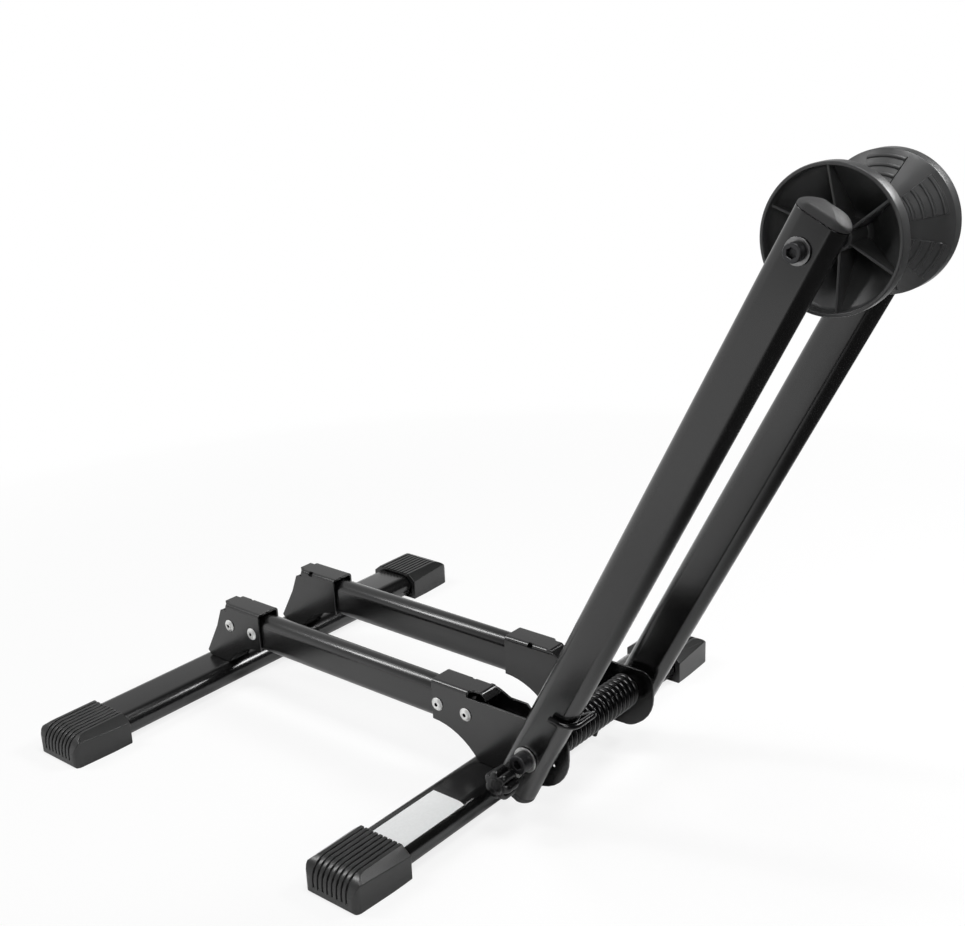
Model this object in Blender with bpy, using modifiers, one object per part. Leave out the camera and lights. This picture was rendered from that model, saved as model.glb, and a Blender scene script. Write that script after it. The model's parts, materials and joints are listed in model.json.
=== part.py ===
"""Folding floor stand that holds a bicycle by one wheel.

Two flat-oval cross tubes in rubber foot caps carry two rails, and the wheel drops between the rails.
Two sprung arms turn on one axle at the front, and their pair of cone rollers presses on the tyre.
All sizes are in metres. +X is the side with the lock knob, +Y runs from the rear tube to the arms,
+Z is up, and the origin is on the floor under the middle of the whole object.
"""

import math

import bmesh
import bpy
from mathutils import Matrix, Vector

# Clearances
FIT_GAP = 0.0003            # between pieces that touch
BEARING_GAP = 0.0003        # radial play of a shaft in its hole

# Cross tubes and foot caps
FOOT_SPAN = 0.400           # over the outer ends of the caps
TUBE_SPACING = 0.2772       # rear tube centre to front tube centre
CROSS_WIDTH = 0.040
CROSS_HEIGHT = 0.018
TUBE_WALL = 0.0015
CAP_SOLE = 0.002            # rubber under the tube
CAP_LENGTH = 0.0462
CAP_HALF_WIDTH = 0.0245
CAP_END_HALF_WIDTH = 0.0222
CAP_CORNER = 0.0045
CAP_HEIGHT = 0.0229
CAP_CREASE_HEIGHT = 0.0172  # where the upright side turns into the sloping band
CAP_TOP_HALF_WIDTH = 0.0173
CAP_END_ROUND = 0.0130      # quarter round from the top down the outer end
CAP_END_WALL = 0.0138       # solid rubber past the tube's end
CAP_CHAMFER = 0.0010
CAP_GROOVES = 8
CAP_GROOVE_PITCH = 0.0040
CAP_GROOVE_WIDTH = 0.0013
CAP_GROOVE_DEPTH = 0.0012
CAP_GROOVE_FOOT = 0.0050    # the grooves stop this far above the floor

# Rails
RAIL_OFFSET = 0.040         # rail centre from the middle plane
RAIL_HEIGHT = 0.030
RAIL_WIDTH = 0.0165
RAIL_CENTRE_Z = 0.0528
RAIL_REAR_REACH = 0.0130    # rail end ahead of the rear tube's centre
RAIL_FRONT_REACH = 0.0120   # rail end behind the front tube's centre

# Sheet brackets
SHEET = 0.00175
SHEET_BEND = 0.0030         # outer radius of the folds
BRACKET_TOP = 0.0705
GUSSET_RADIUS = 0.0496      # round cut from under the rail down to the cross tube
GUSSET_TOP = 0.0403
REAR_BRACKET_NOSE = 0.0530  # rear bracket's front edge ahead of the rear tube
REAR_HEEL = ((-0.0085, 0.0), (-0.0118, 0.0036), (0.0028, 0.0287), (0.0105, 0.0472))
REAR_FLANGE_FOOT = 0.0400   # height where the rear flange ends
FRONT_BRACKET_BACK = 0.0482  # front bracket's rear edge behind the front tube
FRONT_WEB_NOSE = 0.0086     # the top web turns down this far behind the front tube
LIP_LENGTH = 0.0050         # straight part of the lip at the web's end
LIP_TURN = 55               # degrees below level
EAR_TOP = 0.0660
EAR_REACH = 0.0194          # ear's front edge ahead of the pivot
EAR_TOP_ROUND = 0.0100
EAR_FOOT_ROUND = 0.0267
INNER_WALL_REACH = 0.0258   # inner wall's end ahead of the front tube
INNER_WALL_DROP = 0.0060    # slope at the inner wall's end
INNER_WALL_RAMP = 0.0140    # slope at the inner wall's top, ahead of the web
INNER_WALL_STEP = 0.0016    # the inner wall's top below the ear's top
OVAL_CENTRE = 0.0108        # oval cut-out behind the front tube
OVAL_LENGTH = 0.0120
OVAL_DEPTH = 0.0046         # into the top web from the wall's outer face
OVAL_FLOOR = 0.0001         # the cut-out's floor above the ear's top
FLANGE_SET_BACK = 0.0002    # the rear flange lies this far inside the walls' edges
SLOT_LENGTH = 0.0040        # small slot in each bracket's inner fold
REAR_SLOT = 0.0260          # ahead of the rear tube
FRONT_SLOT = 0.0250         # behind the front tube

# Rivets
RIVET_HEAD_RADIUS = 0.00475
RIVET_HEAD_HEIGHT = 0.0016
RIVET_CROWN_RADIUS = 0.0033
RIVET_CROWN_DROP = 0.0003   # the crown's edge below the middle
RIVET_SHANK_RADIUS = 0.0024
RIVET_TAIL_RADIUS = 0.0034
RIVET_TAIL_LENGTH = 0.0032
RIVET_CENTRE_RADIUS = 0.0010
RIVET_CENTRE_DEPTH = 0.0030
RIVET_Z = 0.0530
REAR_RIVETS = (0.0187, 0.0444)      # ahead of the rear tube
FRONT_RIVETS = (0.0431, 0.0179)     # behind the front tube

# Pivot axle
PIVOT_REACH = 0.0481        # pivot ahead of the front tube
PIVOT_Z = 0.0511
PIVOT_RADIUS = 0.0040
PIVOT_HEAD_RADIUS = 0.0065
PIVOT_HEAD_HEIGHT = 0.0075
PIVOT_KEY_RADIUS = 0.0034
PIVOT_KEY_DEPTH = 0.0045
PIVOT_WASHER_RADIUS = 0.0085
PIVOT_WASHER_THICK = 0.0012
PIVOT_NUT_RADIUS = 0.0075
PIVOT_NUT_HEIGHT = 0.0065
SPACER_RADIUS = 0.0080
BOLT_STICK_OUT = 0.0015     # thread past the nut
BOLT_CHAMFER = 0.0005

# Arms
ARM_TILT = math.radians(27.44)      # from upright towards +Y
ARM_OFFSET = 0.06175        # arm centre from the middle plane
ARM_DEPTH = 0.030
ARM_THICK = 0.015
ARM_BELOW = 0.0300          # tube end below the pivot
ARM_ABOVE = 0.3965          # tube end above the pivot
ARM_BUSH_RADIUS = 0.0056
TOP_PLUG_CROWN = 0.0070     # dome height above the tube end
FOOT_PLUG_CROWN = 0.0076
PLUG_ROUND = 0.0250
PLUG_STUB = 0.0100
PLUG_WALL = 0.0018

# Rollers and their bolt
ROLLER_BELOW_TOP = 0.0175   # axle below the arm tube's top end
ROLLER_ACROSS = -0.0005
ROLLER_RADIUS = 0.0383
ROLLER_OUTER_X = 0.0368     # rim face from the middle plane
ROLLER_BAND = 0.0085        # straight rim band
ROLLER_RIM_WALL = 0.0020
ROLLER_CONE_WALL = 0.0022
ROLLER_INNER_X = 0.0050
ROLLER_INNER_RADIUS = 0.0110
ROLLER_HUB_RADIUS = 0.0070
ROLLER_HUB_X = 0.0260
ROLLER_FLOOR = 0.0024       # wall of the narrow end
ROLLER_RIBS = 6
ROLLER_RIB_THICK = 0.0014
ROLLER_RIB_ANGLE = math.radians(36.5)
ROLLER_RIB_DROP = 0.0030    # rib's rim end below the rim face
TREAD_BLOCKS = 6
TREAD_ANGLE = math.radians(30.6)
TREAD_SWEEP = math.radians(36.0)
TREAD_RADII = (0.0345, 0.0302, 0.0260, 0.0220)
TREAD_RIDGE = 0.0015
TREAD_FLANK = 0.0004        # foot of a ridge's sloping side
TREAD_BASE_HEIGHT = 0.0005
TREAD_RIDGE_HEIGHT = 0.0013
ROLLER_BOLT_RADIUS = 0.0030
ROLLER_HEAD_RADIUS = 0.0050
ROLLER_HEAD_HEIGHT = 0.0052
ROLLER_KEY_RADIUS = 0.0028
ROLLER_KEY_DEPTH = 0.0031
ROLLER_WASHER_RADIUS = 0.0070
ROLLER_WASHER_THICK = 0.0012
ROLLER_NUT_RADIUS = 0.00577
ROLLER_NUT_HEIGHT = 0.0050
ROLLER_SPACER_RADIUS = 0.0055
MIDDLE_SPACER_RADIUS = 0.0060

# Torsion spring
SPRING_WIRE_RADIUS = 0.0020
SPRING_RADIUS = 0.0103      # centre of the wire
SPRING_NEAR_X = 0.0443
SPRING_FAR_X = -0.0433
SPRING_TURNS = 17
SPRING_POINTS = 9           # per turn
HOOK_ALONG = 0.0470         # hook above the pivot, along the arm
HOOK_DROP = 0.0045          # the hook's end dips this much on the arm's face
HOOK_END_ACROSS = 0.0019
HOOK_BEND = 0.0045
FAR_LEG_PAST = 0.0010       # the far leg runs on past where it meets the front tube's nose

# Lock knob
STUD_ALONG = -0.0134
STUD_ACROSS = -0.0012
STUD_RADIUS = 0.0025
LOCK_HOLE_RADIUS = 0.0029
LOCK_HOLE_TURN = math.radians(62.5)  # second hole, turned about the pivot
INSERT_RADIUS = 0.0036
INSERT_LENGTH = 0.0110
INSERT_FLANGE_RADIUS = 0.0041
INSERT_FLANGE_THICK = 0.0008
KNOB_INNER_X = 0.0798
KNOB_THICK = 0.0122
KNOB_RADIUS = 0.0104
KNOB_LOBES = 7
KNOB_LOBE_DEPTH = 0.0026
KNOB_NECK_RADIUS = 0.0048
KNOB_NECK_LENGTH = 0.0040
KNOB_EDGE = 0.0012
KNOB_BORE_DEPTH = 0.0110

# Facets
ARC_STEPS = 8               # half of a flat oval's end
ROUND_STEPS = 22
SMALL_STEPS = 14
ROLLER_STEPS = 48
CROWN_STEPS = 5             # quarter round of a foot cap
TREAD_STEPS = 4             # along one tread block
HOOK_STEPS = 6              # each bend of the spring's hook
LOBE_STEPS = 8              # each lobe of the knob
HEX_SIDES = 6
GAP_SAMPLES = 3             # test points on each straight of the wire
OVERCUT = 0.004             # how far a cutter stands out of what it cuts
MERGE = 0.000001
SHARP_ANGLE = math.radians(32)

# Places that follow from the sizes
CROSS_Z = CAP_SOLE + CROSS_HEIGHT / 2
CROSS_TOP = CAP_SOLE + CROSS_HEIGHT
CROSS_HALF_LENGTH = FOOT_SPAN / 2 - CAP_END_WALL - FIT_GAP
ARM_DIRECTION = Vector((0, math.sin(ARM_TILT), math.cos(ARM_TILT)))
ARM_ACROSS = Vector((0, math.cos(ARM_TILT), -math.sin(ARM_TILT)))
ROLLER_ALONG = ARM_ABOVE - ROLLER_BELOW_TOP
ROLLER_FROM_PIVOT = ARM_DIRECTION * ROLLER_ALONG + ARM_ACROSS * ROLLER_ACROSS
FRONT_REACH = TUBE_SPACING + PIVOT_REACH + ROLLER_FROM_PIVOT.y + ROLLER_RADIUS
REAR_Y = -(FRONT_REACH - CAP_HALF_WIDTH) / 2
FRONT_Y = REAR_Y + TUBE_SPACING
PIVOT = Vector((0, FRONT_Y + PIVOT_REACH, PIVOT_Z))
BRACKET_HALF = RAIL_WIDTH / 2 + FIT_GAP + SHEET
BRACKET_OUTER_X = RAIL_OFFSET + BRACKET_HALF
BRACKET_FOOT = CROSS_TOP + FIT_GAP
ARM_OUTER_X = ARM_OFFSET + ARM_THICK / 2
ARM_INNER_X = ARM_OFFSET - ARM_THICK / 2

SIDES = (("near", 1), ("far", -1))
PLANES = {
    "YZ": Matrix(((0, 0, 1, 0), (1, 0, 0, 0), (0, 1, 0, 0), (0, 0, 0, 1))),
    "ZX": Matrix(((0, 1, 0, 0), (0, 0, 1, 0), (1, 0, 0, 0), (0, 0, 0, 1))),
    "XY": Matrix.Identity(4),
}


def clear_scene():
    """Empty the file, so that a second run gives the same result."""
    for obj in list(bpy.data.objects):
        bpy.data.objects.remove(obj)
    for group in list(bpy.data.collections):
        bpy.data.collections.remove(group)


def new_collection(name):
    group = bpy.data.collections.new(name)
    bpy.context.scene.collection.children.link(group)
    return group


def material(name, colour, roughness, metallic):
    """One finish, as a Principled shader."""
    finish = bpy.data.materials.new(name)
    finish.use_nodes = True
    shader = finish.node_tree.nodes["Principled BSDF"]
    shader.inputs["Base Color"].default_value = (*colour, 1)
    shader.inputs["Roughness"].default_value = roughness
    shader.inputs["Metallic"].default_value = metallic
    finish.diffuse_color = (*colour, 1)
    return finish


def empty(name, location, tilt=0.0):
    """A frame that pieces hang on; a positive tilt leans it towards +Y."""
    frame = bpy.data.objects.new(name, None)
    frame.location = location
    frame.rotation_euler = (-tilt, 0, 0)
    frame.empty_display_size = 0.02
    STAND.objects.link(frame)
    bpy.context.view_layer.update()
    return frame


def baked(helper, name):
    """The evaluated shape of a helper object as a welded mesh; the helper is removed."""
    bpy.context.view_layer.update()
    shape = helper.evaluated_get(bpy.context.evaluated_depsgraph_get())
    mesh = bpy.data.meshes.new_from_object(shape)
    mesh.name = name
    data = helper.data
    bpy.data.objects.remove(helper)
    if isinstance(data, bpy.types.Curve):
        bpy.data.curves.remove(data)
    else:
        bpy.data.meshes.remove(data)
    tidy(mesh)
    return mesh


def tidy(mesh):
    """Weld a closed mesh, point its faces out and shade its round sides smooth."""
    bm = bmesh.new()
    bm.from_mesh(mesh)
    bmesh.ops.remove_doubles(bm, verts=bm.verts, dist=MERGE)
    bmesh.ops.recalc_face_normals(bm, faces=bm.faces)
    bm.to_mesh(mesh)
    bm.free()
    mesh.shade_smooth()
    mesh.set_sharp_from_angle(angle=SHARP_ANGLE)


def prism(name, plane, outlines, low, high, edge=0.0):
    """A flat outline, with holes if it has more than one loop, pulled from low to high along its normal.

    The plane's letters name the axes of an outline's two numbers. An edge rounds the rims by that radius.
    """
    curve = bpy.data.curves.new(name, "CURVE")
    curve.dimensions = "2D"
    curve.fill_mode = "BOTH"
    curve.extrude = (high - low) / 2 - edge
    curve.bevel_depth = edge
    curve.bevel_resolution = 1
    curve.offset = -edge
    for outline in outlines:
        spline = curve.splines.new("POLY")
        spline.points.add(len(outline) - 1)
        for point, (u, v) in zip(spline.points, outline):
            point.co = (u, v, 0, 1)
        spline.use_cyclic_u = True
    helper = bpy.data.objects.new(name, curve)
    STAND.objects.link(helper)
    mesh = baked(helper, name)
    mesh.transform(PLANES[plane] @ Matrix.Translation((0, 0, (low + high) / 2)))
    return mesh


def turned(name, profile, steps, closed=False, sweep=math.tau):
    """A profile of (radius, x) points turned about the X axis.

    The profile runs from its +X end along the outer side to its -X end, and back through the bore if
    closed.
    """
    bm = bmesh.new()
    points = [bm.verts.new((radius, 0, height)) for radius, height in profile]
    for first, second in zip(points, points[1:]):
        bm.edges.new((first, second))
    if closed:
        bm.edges.new((points[-1], points[0]))
    line = bpy.data.meshes.new(name)
    bm.to_mesh(line)
    bm.free()
    helper = bpy.data.objects.new(name, line)
    STAND.objects.link(helper)
    screw = helper.modifiers.new("turn", "SCREW")
    screw.axis = "Z"
    screw.angle = sweep
    screw.steps = steps
    screw.render_steps = steps
    screw.use_merge_vertices = sweep == math.tau
    screw.merge_threshold = MERGE
    mesh = baked(helper, name)
    if sweep != math.tau:
        bm = bmesh.new()
        bm.from_mesh(mesh)
        bmesh.ops.holes_fill(bm, edges=[edge for edge in bm.edges if edge.is_boundary])
        bm.to_mesh(mesh)
        bm.free()
        tidy(mesh)
    mesh.transform(Matrix.Rotation(math.pi / 2, 4, "Y"))
    return mesh


def rod(name, radius, low, high, steps=ROUND_STEPS, bore=0.0, turn=0.0):
    """A round bar along X, or a tube if it has a bore."""
    if bore:
        return turned(name, ((radius, high), (radius, low), (bore, low), (bore, high)), steps, closed=True)
    bm = bmesh.new()
    bmesh.ops.create_cone(bm, cap_ends=True, segments=steps, radius1=radius, radius2=radius, depth=high - low)
    mesh = bpy.data.meshes.new(name)
    bm.to_mesh(mesh)
    bm.free()
    mesh.transform(Matrix.Translation(((low + high) / 2, 0, 0)) @ Matrix.Rotation(math.pi / 2, 4, "Y")
                   @ Matrix.Rotation(turn, 4, "Z"))
    mesh.shade_smooth()
    mesh.set_sharp_from_angle(angle=SHARP_ANGLE)
    return mesh


def box(name, low, high):
    """A box between two corners."""
    bm = bmesh.new()
    bmesh.ops.create_cube(bm, size=1)
    size = [b - a for a, b in zip(low, high)]
    middle = [(a + b) / 2 for a, b in zip(low, high)]
    bmesh.ops.scale(bm, verts=bm.verts, vec=size)
    bmesh.ops.translate(bm, verts=bm.verts, vec=middle)
    mesh = bpy.data.meshes.new(name)
    bm.to_mesh(mesh)
    bm.free()
    return mesh


def joined(name, meshes):
    """Several closed shapes as one tool mesh."""
    bm = bmesh.new()
    for mesh in meshes:
        bm.from_mesh(mesh)
        bpy.data.meshes.remove(mesh)
    result = bpy.data.meshes.new(name)
    bm.to_mesh(result)
    bm.free()
    return result


def piece(name, mesh, finish, parent=None, location=(0, 0, 0), turn=0.0):
    """A finished sub-part; turn is about the upright axis."""
    obj = bpy.data.objects.new(name, mesh)
    obj.location = location
    obj.rotation_euler = (0, 0, turn)
    obj.parent = parent
    if not mesh.materials:
        mesh.materials.append(finish)
    STAND.objects.link(obj)
    return obj


def tool(name, mesh, parent=None, location=(0, 0, 0)):
    """A cutter or a shape to be joined, kept out of the finished object."""
    obj = bpy.data.objects.new(name, mesh)
    obj.location = location
    obj.parent = parent
    obj.hide_render = True
    obj.display_type = "WIRE"
    TOOLS.objects.link(obj)
    return obj


def combine(target, operation, *helpers):
    """Cut, join or intersect a piece with tools."""
    for helper in helpers:
        step = target.modifiers.new(f"{operation.lower()} {helper.name}"[:60], "BOOLEAN")
        step.operation = operation
        step.solver = "EXACT"
        step.object = helper


def settle(obj, *helpers):
    """Give a piece the mesh that its modifiers make, and remove its tools."""
    bpy.context.view_layer.update()
    shape = obj.evaluated_get(bpy.context.evaluated_depsgraph_get())
    mesh = bpy.data.meshes.new_from_object(shape)
    mesh.name = obj.name
    obj.modifiers.clear()
    obj.data = mesh
    tidy(mesh)
    for helper in helpers:
        bpy.data.objects.remove(helper)


def arc(centre, radius, start, end, steps):
    """Points on an arc, angles in degrees."""
    angles = [math.radians(start + (end - start) * i / steps) for i in range(steps + 1)]
    return [(centre[0] + radius * math.cos(a), centre[1] + radius * math.sin(a)) for a in angles]


def oval(centre, length, width):
    """A flat oval with its long side along the first axis."""
    radius = width / 2
    run = length / 2 - radius
    right = arc((centre[0] + run, centre[1]), radius, -90, 90, ARC_STEPS)
    left = arc((centre[0] - run, centre[1]), radius, 90, 270, ARC_STEPS)
    return right + left


def upright_oval(centre, width, height):
    """A flat oval with its long side along the second axis."""
    return [(centre[0] - v, centre[1] + u) for u, v in oval((0, 0), height, width)]


def cross_tube(name, y):
    outer = oval((0, 0), CROSS_WIDTH, CROSS_HEIGHT)
    inner = oval((0, 0), CROSS_WIDTH - 2 * TUBE_WALL, CROSS_HEIGHT - 2 * TUBE_WALL)
    mesh = prism(name, "YZ", (outer, inner), -CROSS_HALF_LENGTH, CROSS_HALF_LENGTH)
    piece(name, mesh, BLACK_STEEL, location=(0, y, CROSS_Z))


def cap_crown(depth=0.0):
    """The quarter round (z, x) from a foot cap's top down its outer end, or one that lies deeper."""
    centre = (FOOT_SPAN / 2 - CAP_END_ROUND, CAP_HEIGHT - CAP_END_ROUND)
    return [(z, x) for x, z in arc(centre, CAP_END_ROUND - depth, 90, 0, CROWN_STEPS)]


def foot_cap_mesh():
    """One rubber cap: a trough section, shaped from the side and in plan, with ribs over its top and end."""
    mouth = FOOT_SPAN / 2 - CAP_LENGTH
    end = FOOT_SPAN / 2
    half = CAP_HALF_WIDTH
    section = [(-half + CAP_CHAMFER, 0), (half - CAP_CHAMFER, 0), (half, CAP_CHAMFER),
               (half, CAP_CREASE_HEIGHT), (CAP_TOP_HALF_WIDTH, CAP_HEIGHT),
               (-CAP_TOP_HALF_WIDTH, CAP_HEIGHT), (-half, CAP_CREASE_HEIGHT), (-half, CAP_CHAMFER)]
    cap = piece("foot_cap", prism("foot_cap", "YZ", (section,), mouth, end + OVERCUT), RUBBER)

    side = [(CAP_HEIGHT, mouth - OVERCUT), *cap_crown(), (CAP_CHAMFER, end),
            (-OVERCUT, end - CAP_CHAMFER - OVERCUT), (-OVERCUT, mouth - OVERCUT)]
    side_tool = tool("cap_side", prism("cap_side", "ZX", (side,), -half - OVERCUT, half + OVERCUT))

    corner = CAP_CORNER
    taper = math.degrees(math.atan2(half - CAP_END_HALF_WIDTH, CAP_LENGTH))
    right = arc((end - corner, -CAP_END_HALF_WIDTH + corner), corner, -90 + taper, 0, ARC_STEPS // 2)
    plan = [(mouth - OVERCUT, half), (mouth - OVERCUT, -half), (mouth, -half), *right,
            *[(x, -y) for x, y in reversed(right)], (mouth, half)]
    plan_tool = tool("cap_plan", prism("cap_plan", "XY", (plan,), -OVERCUT, CAP_HEIGHT + OVERCUT))
    combine(cap, "INTERSECT", side_tool, plan_tool)

    pocket = oval((0, CROSS_Z), CROSS_WIDTH + 2 * FIT_GAP, CROSS_HEIGHT + 2 * FIT_GAP)
    pocket_end = CROSS_HALF_LENGTH + FIT_GAP
    pocket_tool = tool("cap_pocket", prism("cap_pocket", "YZ", (pocket,), mouth - OVERCUT, pocket_end))

    start = mouth - OVERCUT
    above = CAP_HEIGHT + OVERCUT
    beyond = end + OVERCUT
    band = [(above, start), (CAP_HEIGHT - CAP_GROOVE_DEPTH, start), *cap_crown(CAP_GROOVE_DEPTH),
            (CAP_GROOVE_FOOT, end - CAP_GROOVE_DEPTH), (CAP_GROOVE_FOOT, beyond), (above, beyond)]
    grooves = []
    for i in range(CAP_GROOVES):
        y = (i - (CAP_GROOVES - 1) / 2) * CAP_GROOVE_PITCH
        grooves.append(prism("groove", "ZX", (band,), y - CAP_GROOVE_WIDTH / 2, y + CAP_GROOVE_WIDTH / 2))
    groove_tool = tool("cap_grooves", joined("cap_grooves", grooves))
    combine(cap, "DIFFERENCE", pocket_tool, groove_tool)
    settle(cap, side_tool, plan_tool, pocket_tool, groove_tool)
    mesh = cap.data
    bpy.data.objects.remove(cap)
    return mesh


def foot_caps():
    mesh = foot_cap_mesh()
    for end_name, y in (("front", FRONT_Y), ("rear", REAR_Y)):
        piece(f"foot_cap_{end_name}_near", mesh, RUBBER, location=(0, y, 0))
        piece(f"foot_cap_{end_name}_far", mesh, RUBBER, location=(0, y, 0), turn=math.pi)


def rivet_places():
    """Each rivet row's name and place along Y."""
    rear = [(f"rear_{i + 1}", REAR_Y + reach) for i, reach in enumerate(REAR_RIVETS)]
    front = [(f"front_{i + 1}", FRONT_Y - reach) for i, reach in enumerate(FRONT_RIVETS)]
    return rear + front


def rivet_holes(side, sign):
    """Drill for the blind rivets of one rail, through the bracket's and the rail's outer walls."""
    low, high = sorted((sign * RAIL_OFFSET, sign * (BRACKET_OUTER_X + OVERCUT)))
    drills = []
    for _, y in rivet_places():
        drill = rod("drill", RIVET_SHANK_RADIUS + FIT_GAP, low, high, SMALL_STEPS)
        drill.transform(Matrix.Translation((0, y, RIVET_Z)))
        drills.append(drill)
    return tool(f"rivet_holes_{side}", joined(f"rivet_holes_{side}", drills))


def rail(side, sign, holes):
    outer = oval((0, 0), RAIL_HEIGHT, RAIL_WIDTH)
    inner = oval((0, 0), RAIL_HEIGHT - 2 * TUBE_WALL, RAIL_WIDTH - 2 * TUBE_WALL)
    name = f"rail_{side}"
    mesh = prism(name, "ZX", (outer, inner), REAR_Y + RAIL_REAR_REACH, FRONT_Y - RAIL_FRONT_REACH)
    obj = piece(name, mesh, BLACK_STEEL, location=(sign * RAIL_OFFSET, 0, RAIL_CENTRE_Z))
    combine(obj, "DIFFERENCE", holes)


def channel(name, back, nose):
    """An upside-down U of sheet with rounded folds, running along Y."""
    outer, inner, bend = BRACKET_HALF, BRACKET_HALF - SHEET, SHEET_BEND
    top, under = BRACKET_TOP, BRACKET_TOP - SHEET
    foot = CROSS_TOP - OVERCUT
    steps = ARC_STEPS // 2
    right = arc((outer - bend, top - bend), bend, 0, 90, steps)
    right_in = arc((outer - bend, top - bend), bend - SHEET, 90, 0, steps)
    left = [(-x, z) for x, z in reversed(right)]
    left_in = [(-x, z) for x, z in reversed(right_in)]
    loop = [(outer, foot), *right, *left, (-outer, foot), (-inner, foot), *left_in, *right_in, (inner, foot)]
    return prism(name, "ZX", ([(z, x) for x, z in loop],), back, nose)


def gusset(corner_y, towards):
    """Round cut below a bracket, from the rail's underside down to the cross tube (y, z).

    It starts level under the rail at corner_y and falls towards +Y or -Y.
    """
    drop = GUSSET_TOP - BRACKET_FOOT
    reach = math.sqrt(GUSSET_RADIUS ** 2 - (GUSSET_RADIUS - drop) ** 2)
    end = math.degrees(math.asin(reach / GUSSET_RADIUS))
    centre = (0, GUSSET_TOP - GUSSET_RADIUS)
    return [(corner_y + towards * u, v) for u, v in arc(centre, GUSSET_RADIUS, 90, 90 - end, ARC_STEPS)]


def rear_flange(heel):
    """The rear bracket's slanted flange (y, z): a band of sheet along the walls' back edges."""
    (y0, z0), (y1, z1), (y2, z2) = heel[1:]
    foot = y1 - (z1 - REAR_FLANGE_FOOT) * (y1 - y0) / (z1 - z0)
    top = BRACKET_TOP - SHEET / 2
    back = [(foot, REAR_FLANGE_FOOT), (y1, z1), (y2, z2), (y2, top)]
    face = [(y + FLANGE_SET_BACK, z) for y, z in back]
    thick = SHEET * math.hypot(y1 - y0, z1 - z0) / (z1 - z0)
    return [(y + thick, z) for y, z in face] + face[::-1]


def fold_slot(y, sign):
    """A small slot through a bracket's inner fold."""
    low, high = sorted((-sign * (BRACKET_HALF - SHEET_BEND), -sign * (BRACKET_HALF + OVERCUT)))
    return box("slot", (low, y - SLOT_LENGTH / 2, BRACKET_TOP - SHEET_BEND),
               (high, y + SLOT_LENGTH / 2, BRACKET_TOP + OVERCUT))


def rear_bracket(side, sign, holes):
    """Folded saddle on the rear tube: two walls, a top web and a slanted flange at the back."""
    name = f"rear_bracket_{side}"
    x = sign * RAIL_OFFSET
    heel = [(REAR_Y + u, BRACKET_FOOT + v) for u, v in REAR_HEEL]
    nose = REAR_Y + REAR_BRACKET_NOSE
    above = BRACKET_TOP + OVERCUT
    outline = [*heel, (heel[-1][0], above), (nose, above), *gusset(nose, -1)]
    obj = piece(name, channel(name, heel[1][0] - OVERCUT, nose + OVERCUT), BLACK_STEEL, location=(x, 0, 0))
    shape = tool(f"{name}_outline", prism(f"{name}_outline", "YZ", (outline,), -OVERCUT - BRACKET_HALF,
                                          OVERCUT + BRACKET_HALF), location=(x, 0, 0))
    combine(obj, "INTERSECT", shape)

    flange = rear_flange(heel)
    half = BRACKET_HALF - SHEET / 2
    lip = tool(f"{name}_flange", prism(f"{name}_flange", "YZ", (flange,), -half, half), location=(x, 0, 0))
    combine(obj, "UNION", lip)

    corner = SHEET_BEND + SHEET
    reliefs = []
    for edge in (-1, 1):
        low, high = sorted((edge * (BRACKET_HALF - corner), edge * (BRACKET_HALF + OVERCUT)))
        reliefs.append(box("relief", (low, heel[-1][0] - OVERCUT, BRACKET_TOP - corner - SHEET),
                           (high, heel[-1][0] + corner, BRACKET_TOP + OVERCUT)))
    reliefs.append(fold_slot(REAR_Y + REAR_SLOT, sign))
    cut = tool(f"{name}_reliefs", joined(f"{name}_reliefs", reliefs), location=(x, 0, 0))
    combine(obj, "DIFFERENCE", cut, holes)


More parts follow.
